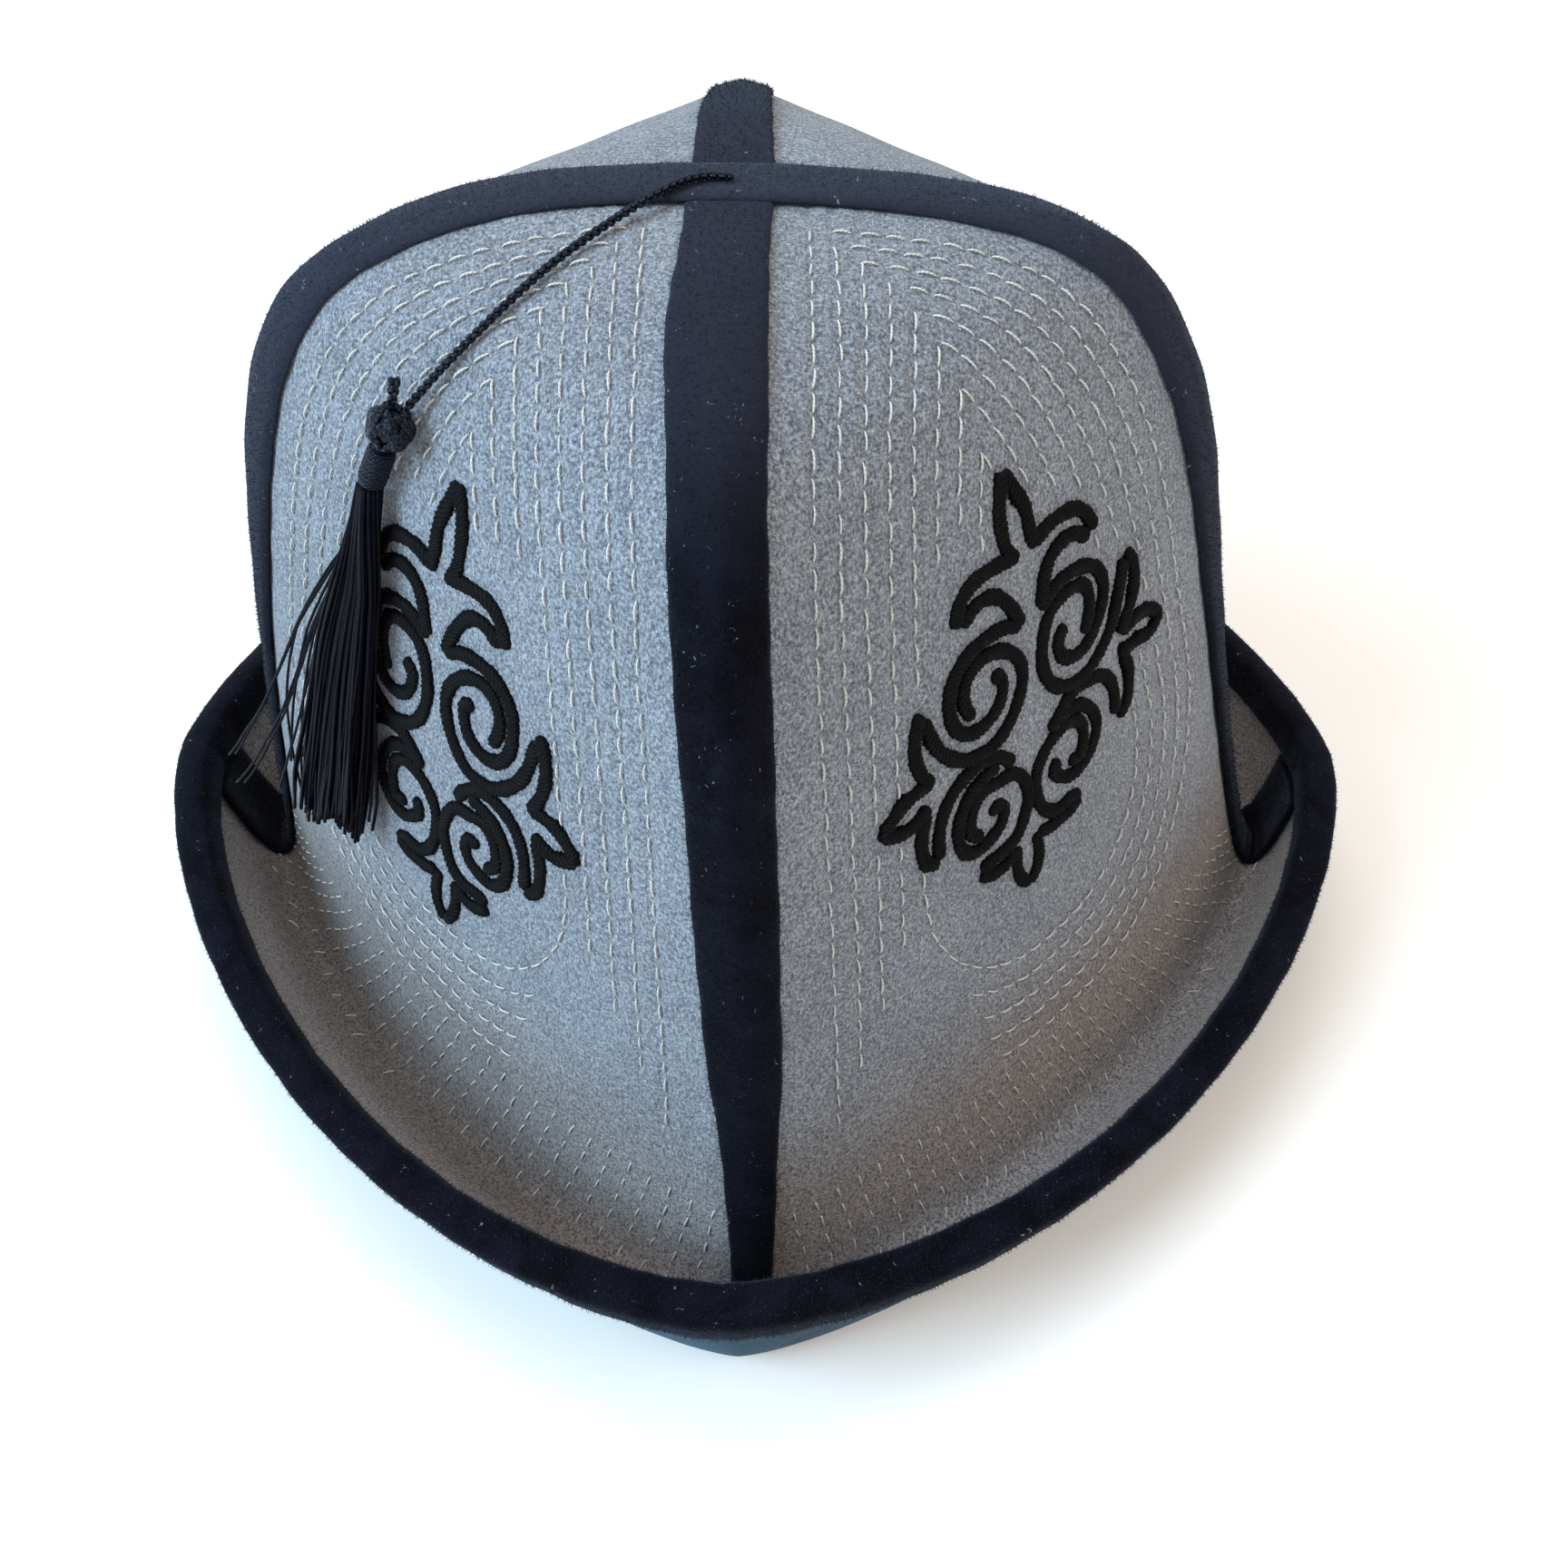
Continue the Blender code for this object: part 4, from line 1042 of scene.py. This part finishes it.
def velvet_look(name, dark, light, sheen, sheen_tint, specks, painted_top_light=0.0, painted_light_from=0.148):
    """Short pile: dark face on, paler where the pile leans, with painted light making it paler toward the top of
    the hat, and a little lint.
    """
    look = Look(name, Roughness=0.9, Sheen_Weight=sheen, Sheen_Roughness=0.35,
                Sheen_Tint=(*sheen_tint, 1.0), Specular_IOR_Level=0.06)
    lean = look.noise(look.place((1.0, 1.0, 1.0)), 90.0, 4.0, 0.6, 0.8)
    pile = look.noise(look.place((1.0, 1.0, 1.0)), 2200.0, 2.0, 0.6)
    lint = look.noise(look.place((1.0, 1.0, 1.0)), 700.0, 2.0, 0.55, 1.5)
    shade = (lean * 0.65 + pile * 0.5).between(0.35, 0.85)
    colour = look.mix(shade, (*dark, 1.0), (*light, 1.0))
    # Painted light: paler toward the top of the hat, standing in for the light from above
    high = look.part_of(look.place((1.0, 1.0, 1.0)), 2).between(painted_light_from, 0.175)
    colour = look.mix(high * painted_top_light, colour, (0.030, 0.034, 0.052, 1.0))
    colour = look.mix(lint.between(0.70, 0.79) * specks, colour, (0.35, 0.36, 0.40, 1.0))
    look.join(look.shader.inputs["Base Color"], colour)
    look.bump(pile + lean * 1.5, 0.00025)
    return look.material


def mark_nap(made, columns, first, last):
    """Marks the points of each section whose pile shows."""
    number = np.arange(len(made.data.vertices)) % columns
    nap = made.data.attributes.new("nap", "FLOAT", "POINT")
    nap.data.foreach_set("value", ((number >= first) & (number < last)).astype(np.float32))


def ring(name, loop_of_angle, around, made_of, nap_from):
    """A closed ring of velvet from its section at each angle, with UV along and across."""
    angles = np.linspace(0, 2 * np.pi, around, endpoint=False)
    loops = np.array([loop_of_angle(angle) for angle in angles])
    columns = loops.shape[1]
    i, j = np.meshgrid(np.arange(around), np.arange(columns), indexing="ij")
    k, m = (i + 1) % around, (j + 1) % columns
    faces = np.stack([i * columns + j, i * columns + m, k * columns + m, k * columns + j], -1)
    uvs = np.stack([np.stack([i, j], -1), np.stack([i, j + 1], -1),
                    np.stack([i + 1, j + 1], -1), np.stack([i + 1, j], -1)], 2)
    faces, uvs = faces.reshape(-1, 4), uvs.reshape(-1, 4, 2) * (0.02, 0.02)
    points = loops.reshape(-1, 3)
    first = points[faces[:, 0]]
    volume = sum((np.cross(points[faces[:, n]], points[faces[:, n + 1]]) * first).sum()
                 for n in (1, 2))
    if volume < 0:
        faces, uvs = faces[:, ::-1], uvs[:, ::-1]
    made = piece(name, [(points, faces.tolist(), uvs)], made_of)
    mark_nap(made, columns, nap_from, columns)
    return made


teal_velvet = velvet_look("teal_velvet", (0.004, 0.012, 0.020), (0.020, 0.048, 0.078), 0.25,
                          (0.55, 0.8, 1.0), 0.4)
facing_places = np.interp(np.linspace(0, 1, 34), np.linspace(0, 1, 141),
                          np.linspace(FACING_START, RIM, 141))


def facing_loop(angle):
    outer = felt_point(facing_places, angle, facing_show)
    inner = felt_point(facing_places[::-1], angle, facing_under)
    # It lies flat where the hat rests on it
    inner[:, 2] = np.maximum(inner[:, 2], 0.0)
    return np.concatenate([outer, inner])


facing = ring("facing_teal_velvet", facing_loop, RING, teal_velvet, 34)
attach(facing, "root")
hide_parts("brim_facing")


# Rim binding: a bias strip of navy velvet folded over the edge of felt and facing, stitched
# through, so that it swells in a soft roll and puckers a little.
ROLL, PUFF, OUTER_DEPTH = 0.0018, 0.0016, 0.0058
brim_back = facing_under - GAP
navy_velvet = velvet_look("navy_velvet", (0.0010, 0.0010, 0.0022), (0.0070, 0.0075, 0.015), 0.10,
                          (0.6, 0.75, 1.0), 0.6, 0.60)
dusty_pile = velvet_look("dusty_pile", (0.0045, 0.0048, 0.0085), (0.032, 0.034, 0.056), 0.20,
                         (0.6, 0.75, 1.0), 0.3)
# The side strip's copy, with its painted light starting lower down on the hat
rubbed_velvet = velvet_look("rubbed_velvet", (0.0010, 0.0010, 0.0022), (0.0090, 0.0100, 0.019),
                            0.16, (0.6, 0.75, 1.0), 0.6, 0.80, 0.060)
# How far down from the rim, and the lift off the show face, round the section
BINDING_SECTION = np.array((
    (BINDING_DEPTH, GAP), (BINDING_DEPTH / 2, GAP), (-GAP, GAP),
    (-GAP, brim_back), (OUTER_DEPTH / 2, brim_back), (OUTER_DEPTH, brim_back),
    (OUTER_DEPTH, brim_back - 0.5 * PUFF), (OUTER_DEPTH - 0.0010, brim_back - PUFF),
    (OUTER_DEPTH * 0.66, brim_back - 1.08 * PUFF), (OUTER_DEPTH * 0.33, brim_back - 1.08 * PUFF),
    (0.0005, brim_back - PUFF), (-0.45 * ROLL, brim_back - 0.75 * PUFF),
    (-0.80 * ROLL, brim_back - 0.25 * PUFF), (-0.95 * ROLL, 0.75 * brim_back),
    (-ROLL, brim_back / 2), (-0.95 * ROLL, 0.25 * brim_back), (-0.80 * ROLL, 0.25 * PUFF + GAP),
    (-0.45 * ROLL, 0.75 * PUFF + GAP), (0.0005, PUFF + GAP),
    (BINDING_DEPTH * 0.33, 1.08 * PUFF + GAP), (BINDING_DEPTH * 0.66, 1.08 * PUFF + GAP),
    (BINDING_DEPTH - 0.0010, PUFF), (BINDING_DEPTH, 0.5 * PUFF),
))


def binding_loop(angle):
    pucker = 1 + 0.05 * np.sin(angle * 37) + 0.04 * np.sin(angle * 61 + 1.0) + 0.03 * np.sin(angle * 97)
    points = []
    for number, (down, lift) in enumerate(BINDING_SECTION):
        if number > 5:
            lift = brim_back / 2 + (lift - brim_back / 2) * (1 + 0.35 * (pucker - 1))
        points.append(felt_point(place_at(max(down, 0.0)), angle, lift, max(-down, 0.0)))
    return np.array(points)


binding = ring("binding_navy_velvet", binding_loop, 560, navy_velvet, 6)
PILE_HIGH, PILE_HALF = 0.00075, 0.00008
PILE_DENSITY = 900000.0      # ends to the square metre


def pile_tree():
    """Stands a leaning end of pile on points scattered over the marked part of a velvet."""
    tree = bpy.data.node_groups.new("velvet_pile", "GeometryNodeTree")
    ports = {}
    for name, kind in (("Geometry", "Geometry"), ("End", "Object"), ("Density", "Float"),
                       ("Lean", "Float"), ("Seed", "Int"), ("Velvet", "Material")):
        ports[name] = tree.interface.new_socket(name, in_out="INPUT", socket_type="NodeSocket" + kind)
    tree.interface.new_socket("Geometry", in_out="OUTPUT", socket_type="NodeSocketGeometry")
    given = tree.nodes.new("NodeGroupInput").outputs
    nap = tree.nodes.new("GeometryNodeInputNamedAttribute")
    nap.data_type = "FLOAT"
    nap.inputs["Name"].default_value = "nap"
    dense = tree.nodes.new("ShaderNodeMath")
    dense.operation = "MULTIPLY"
    spread = tree.nodes.new("GeometryNodeDistributePointsOnFaces")
    end = tree.nodes.new("GeometryNodeObjectInfo")
    swing = tree.nodes.new("FunctionNodeRandomValue")
    swing.data_type = "FLOAT_VECTOR"
    swing.inputs[0].default_value = (-1.0, -1.0, -3.1)
    swing.inputs[1].default_value = (1.0, 1.0, 3.1)
    scaled = tree.nodes.new("ShaderNodeVectorMath")
    scaled.operation = "SCALE"
    leaning = tree.nodes.new("FunctionNodeEulerToRotation")
    turned = tree.nodes.new("FunctionNodeRotateRotation")
    turned.rotation_space = "LOCAL"
    put = tree.nodes.new("GeometryNodeInstanceOnPoints")
    real = tree.nodes.new("GeometryNodeRealizeInstances")
    dyed = tree.nodes.new("GeometryNodeSetMaterial")
    ready = tree.nodes.new("NodeGroupOutput")
    nap_out = next(out for out in nap.outputs if out.enabled and out.name == "Attribute")
    swing_out = next(out for out in swing.outputs if out.enabled)
    for source, target in (
        (given["Density"], dense.inputs[0]), (nap_out, dense.inputs[1]),
        (given["Geometry"], spread.inputs["Mesh"]), (dense.outputs[0], spread.inputs["Density"]),
        (given["Seed"], spread.inputs["Seed"]), (given["End"], end.inputs["Object"]),
        (given["Seed"], swing.inputs["Seed"]), (swing_out, scaled.inputs[0]),
        (given["Lean"], scaled.inputs["Scale"]), (scaled.outputs[0], leaning.inputs[0]),
        (spread.outputs["Rotation"], turned.inputs[0]), (leaning.outputs[0], turned.inputs[1]),
        (spread.outputs["Points"], put.inputs["Points"]), (end.outputs["Geometry"], put.inputs["Instance"]),
        (turned.outputs[0], put.inputs["Rotation"]), (put.outputs["Instances"], real.inputs["Geometry"]),
        (real.outputs["Geometry"], dyed.inputs["Geometry"]), (given["Velvet"], dyed.inputs["Material"]),
        (dyed.outputs["Geometry"], ready.inputs[0]),
    ):
        tree.links.new(source, target)
    return tree, ports


PILE_TREE, PILE_PORTS = pile_tree()
corners = [(PILE_HALF * np.cos(a), PILE_HALF * np.sin(a), -0.00005) for a in (0, 2.094, 4.189)]
end_mesh = bpy.data.meshes.new("pile_end")
end_mesh.from_pydata(corners + [(0.00008, 0.0, PILE_HIGH)], [], [(2, 1, 0), (0, 1, 3), (1, 2, 3), (2, 0, 3)])
pile_end = bpy.data.objects.new("pile_end", end_mesh)
bpy.context.scene.collection.objects.link(pile_end)


def napped(name, velvet, density, seed, made_of):
    """The standing pile of a velvet piece as a plain mesh of its own."""
    pile = bpy.data.objects.new(name, velvet.data.copy())
    bpy.context.scene.collection.objects.link(pile)
    modifier = pile.modifiers.new("pile", "NODES")
    modifier.node_group = PILE_TREE
    for port, value in (("End", pile_end), ("Density", density), ("Lean", 0.75), ("Seed", seed),
                        ("Velvet", made_of)):
        modifier[PILE_PORTS[port].identifier] = value
    bpy.context.view_layer.update()
    mesh = bpy.data.meshes.new_from_object(pile.evaluated_get(bpy.context.evaluated_depsgraph_get()))
    pile.modifiers.remove(modifier)
    pile.data = mesh
    mesh.name = name
    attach(pile, "root")
    return pile


napped("binding_pile", binding, PILE_DENSITY, 3, dusty_pile)
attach(binding, "root")
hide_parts("rim_binding")


# Seam strips: navy velvet, folded under at both edges and sewn over the joins of the panels.
# One runs over the crown from side to side, and the front and back ones start beneath it.
LEVEL_REACH, TURNED_REACH = 0.020, 0.060
BRIM_EASE = 0.0005
NEAR_APEX = 0.02
STRIP_STATIONS = np.array((-1.0, -0.94, -0.82, -0.55, -0.28, 0.0, 0.28, 0.55, 0.82, 0.94, 1.0))
STRIP_RISE = np.array((0.30, 0.78, 1.0, 1.04, 1.06, 1.08, 1.06, 1.04, 1.0, 0.78, 0.30))
SEAMS = {
    "right": (0, 1, "front", "back"), "left": (0, -1, "front", "back"),
    "front": (1, -1, "left", "right"), "back": (1, 1, "left", "right"),
}
TOP = np.arange(1, TOP_ROWS * FINE_STEPS)


def top_height(x, y, lift):
    """Height of the lifted show face over a point of the crown's top."""
    section = section_at(ROWS["place"][TOP], lift)
    across = np.where(x > section["sway"], section["right"], section["left"])
    deep = section["back"] if y > 0 else section["front"]
    outside = (np.abs(x - section["sway"]) / np.maximum(across, GAP)) ** section["corner"]
    outside = outside + (np.abs(y) / np.maximum(deep, GAP)) ** section["corner"]
    last = np.argmax(outside < 1)
    if last == 0:
        return section["height"][0]
    share = (outside[last - 1] - 1) / (outside[last - 1] - outside[last])
    heights = section["height"]
    return heights[last - 1] + share * (heights[last] - heights[last - 1])


def seam_point(seam, place, across, lift):
    """Point over the show face beside a seam, at a distance across it seen from above."""
    axis, sign, low_side, high_side = SEAMS[seam]
    section = section_at(place, lift)
    reach = float(section[seam])
    width = float(section[high_side if across > 0 else low_side])
    share = min(abs(across) / max(width, GAP), 1.0)
    out = reach * (1 - share ** float(section["corner"])) ** (1 / float(section["corner"]))
    turned = np.clip((reach - LEVEL_REACH) / (TURNED_REACH - LEVEL_REACH), 0, 1)
    out = reach + turned * (out - reach)
    plan = [0.0, 0.0]
    plan[axis] = sign * out
    plan[1 - axis] = across
    plan[0] += float(section["sway"])
    if turned < 1:
        return placed(plan[0], plan[1], top_height(plan[0], plan[1], lift))
    square = share ** float(section["corner"])
    square = square if axis == 0 else 1 - square
    back = seam == "back" or (axis == 0 and across > 0)
    height = section["height"] + rim_rise(section, back, np.sqrt(square))
    return placed(plan[0], plan[1], height)


strip_end = place_at(BINDING_DEPTH + GAP)


# Place, and the strip's two edges there as shares of the half width: left and right of the front
# strip as sewn by hand, narrower toward the brim
FRONT_EDGES = np.array((
    (0.5, 1.08, 1.00), (0.95, 1.14, 1.00), (1.7, 1.28, 1.00), (2.35, 1.15, 0.97), (3.45, 1.08, 0.89),
    (4.5, 1.00, 0.82), (5.73, 1.00, 0.76), (6.4, 0.98, 0.78), (7.13, 0.84, 0.67), (8.0, 0.80, 0.66),
    (12.0, 0.90, 0.80),
))
BACK_EDGES = np.array(((0.3, 1.02), (1.0, 0.98), (2.0, 0.86), (3.0, 0.84), (5.0, 0.95), (12.0, 0.95)))
CROSSING_REACH = 0.55    # places from the apex over which the strips cross


def strip_loop(seam, place, width_name, number, begins=None):
    """One section of a strip. begins is the place where it starts beneath the side strip."""
    half = float(row_value(width_name, place))
    half *= 1 + 0.012 * np.sin(number * 0.9) + 0.010 * np.sin(number * 0.37 + 1)
    left = right = 1.0
    if seam == "front":
        left = np.interp(place, FRONT_EDGES[:, 0], FRONT_EDGES[:, 1])
        right = np.interp(place, FRONT_EDGES[:, 0], FRONT_EDGES[:, 2])
    if seam == "back":
        left = right = np.interp(place, BACK_EDGES[:, 0], BACK_EDGES[:, 1])
    base = GAP + BRIM_EASE * float(row_value("brim", place))
    thick = VELVET * (1 + 0.05 * np.sin(number * 0.55))
    if begins is None:
        over = np.clip(1 - place / CROSSING_REACH, 0, 1) ** 0.5
        base += 0.00050 * over
        thick *= 1 - 0.30 * over
    else:
        thick *= 0.34 + 0.66 * np.clip((place - begins) / 0.9, 0, 1) ** 0.8
    top, bottom = [], []
    for station, rise in zip(STRIP_STATIONS, STRIP_RISE):
        across = station * half * (left if station < 0 else right)
        drop = float(ridge_drop(place, abs(across) / STRIP_HALF))
        top.append(seam_point(seam, place, across, base + rise * thick - drop))
        bottom.append(seam_point(seam, place, across, base - drop))
    return top + bottom[::-2]


def strip(name, loops, made_of=navy_velvet):
    loops = np.array(loops)
    rows, columns = loops.shape[:2]
    length = walked(loops[:, 5]) * 1000
    faces, uvs = [], []
    for i in range(rows - 1):
        for j in range(columns):
            k = (j + 1) % columns
            faces.append((i * columns + j, i * columns + k, (i + 1) * columns + k, (i + 1) * columns + j))
            u, v = length[i] * CLOTH_UV, length[i + 1] * CLOTH_UV
            w, x = j / columns * 0.1, (j + 1) / columns * 0.1
            uvs.append(((u, w), (u, x), (v, x), (v, w)))
    faces.append(tuple(reversed(range(columns))))
    faces.append(tuple(range((rows - 1) * columns, rows * columns)))
    uvs += [((0.0, 0.0),) * columns] * 2
    points = loops.reshape(-1, 3)
    volume = sum(np.dot(np.cross(points[f[0]], points[f[1]]), points[f[2]])
                 + np.dot(np.cross(points[f[0]], points[f[2]]), points[f[3]]) for f in faces[:-2])
    if volume < 0:
        faces = [tuple(reversed(face)) for face in faces]
        uvs = [tuple(reversed(corners)) for corners in uvs]
    made = piece(name, [(points, faces, uvs)], made_of)
    mark_nap(made, columns, 0, len(STRIP_STATIONS))
    return made


strip_places = np.arange(0.06, float(strip_end), 0.06)
strip_places = np.append(strip_places[strip_places > 0.13], float(strip_end))
side_loops = [strip_loop("left", place, "side_strip", n) for n, place in enumerate(strip_places)][::-1]
side_loops.append(strip_loop("right", NEAR_APEX, "side_strip", 0))
side_loops += [strip_loop("right", place, "side_strip", n) for n, place in enumerate(strip_places)]
strips = [(strip("strip_sides_velvet", side_loops, rubbed_velvet), "seam_strip_sides")]
TUCK = 0.0028            # how far the front and back strips reach beneath the side strip
crossing = STRIP_HALF * SECTIONS[0][COLUMNS.index("side_strip")] + GAP
for seam in ("front", "back"):
    first_place = float(np.interp(crossing - TUCK, ROWS[seam][:FINE_STEPS], ROWS["place"][:FINE_STEPS]))
    places = [first_place] + [place for place in strip_places if place > first_place + 0.04]
    loops = [strip_loop(seam, place, "front_strip", n, first_place) for n, place in enumerate(places)]
    strips.append((strip("strip_" + seam + "_velvet", loops), "seam_strip_" + seam))
for number, (one, node) in enumerate(strips):
    napped(node + "_pile", one, PILE_DENSITY, 20 + number, one.data.materials[0])
    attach(one, "root")
    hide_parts(node)


bpy.data.objects.remove(pile_end)


# Studio: a pale floor, a wide cool light from the left and a weaker warm one from the right.
floor_look = Look("studio_floor", Roughness=0.9, Specular_IOR_Level=0.1, Emission_Strength=0.10,
                  Emission_Color=(0.97, 0.98, 1.0, 1.0))
ground = floor_look.noise(floor_look.place((1.0, 1.0, 1.0)), 3.0)
floor_look.join(floor_look.shader.inputs["Base Color"],
                floor_look.mix(ground, (0.95, 0.93, 0.90, 1.0), (0.97, 0.95, 0.92, 1.0)))
FLOOR_HALF = 3.0
floor_mesh = bpy.data.meshes.new("floor")
floor_mesh.from_pydata([(x * FLOOR_HALF, y * FLOOR_HALF, -0.0002)
                        for x, y in ((-1, -1), (1, -1), (1, 1), (-1, 1))], [], [(0, 1, 2, 3)])
floor_mesh.materials.append(floor_look.material)
floor = bpy.data.objects.new("floor", floor_mesh)
bpy.context.scene.collection.objects.link(floor)

world = bpy.data.worlds.new("studio")
bpy.context.scene.world = world
world.use_nodes = True
world.node_tree.nodes["Background"].inputs["Color"].default_value = (1.0, 0.99, 0.97, 1.0)
world.node_tree.nodes["Background"].inputs["Strength"].default_value = 0.54
for name, where, size, power, colour in (
    ("light_left", (-1.05, -0.40, 0.90), 0.8, 23.0, (0.53, 0.795, 1.0)),
    ("light_right", (0.80, -0.30, 0.95), 0.6, 3.3, (1.0, 0.78, 0.60)),
    ("light_top", (-0.1, 0.45, 1.3), 0.9, 6.0, (1.0, 0.98, 0.96)),
):
    lamp = bpy.data.lights.new(name, "AREA")
    lamp.size, lamp.energy, lamp.color = size, power, colour
    light = bpy.data.objects.new(name, lamp)
    light.location = where
    light.rotation_euler = (Vector((0, 0, 0.06)) - Vector(where)).to_track_quat("-Z", "Y").to_euler()
    bpy.context.scene.collection.objects.link(light)
bpy.context.scene.view_settings.view_transform = "Standard"
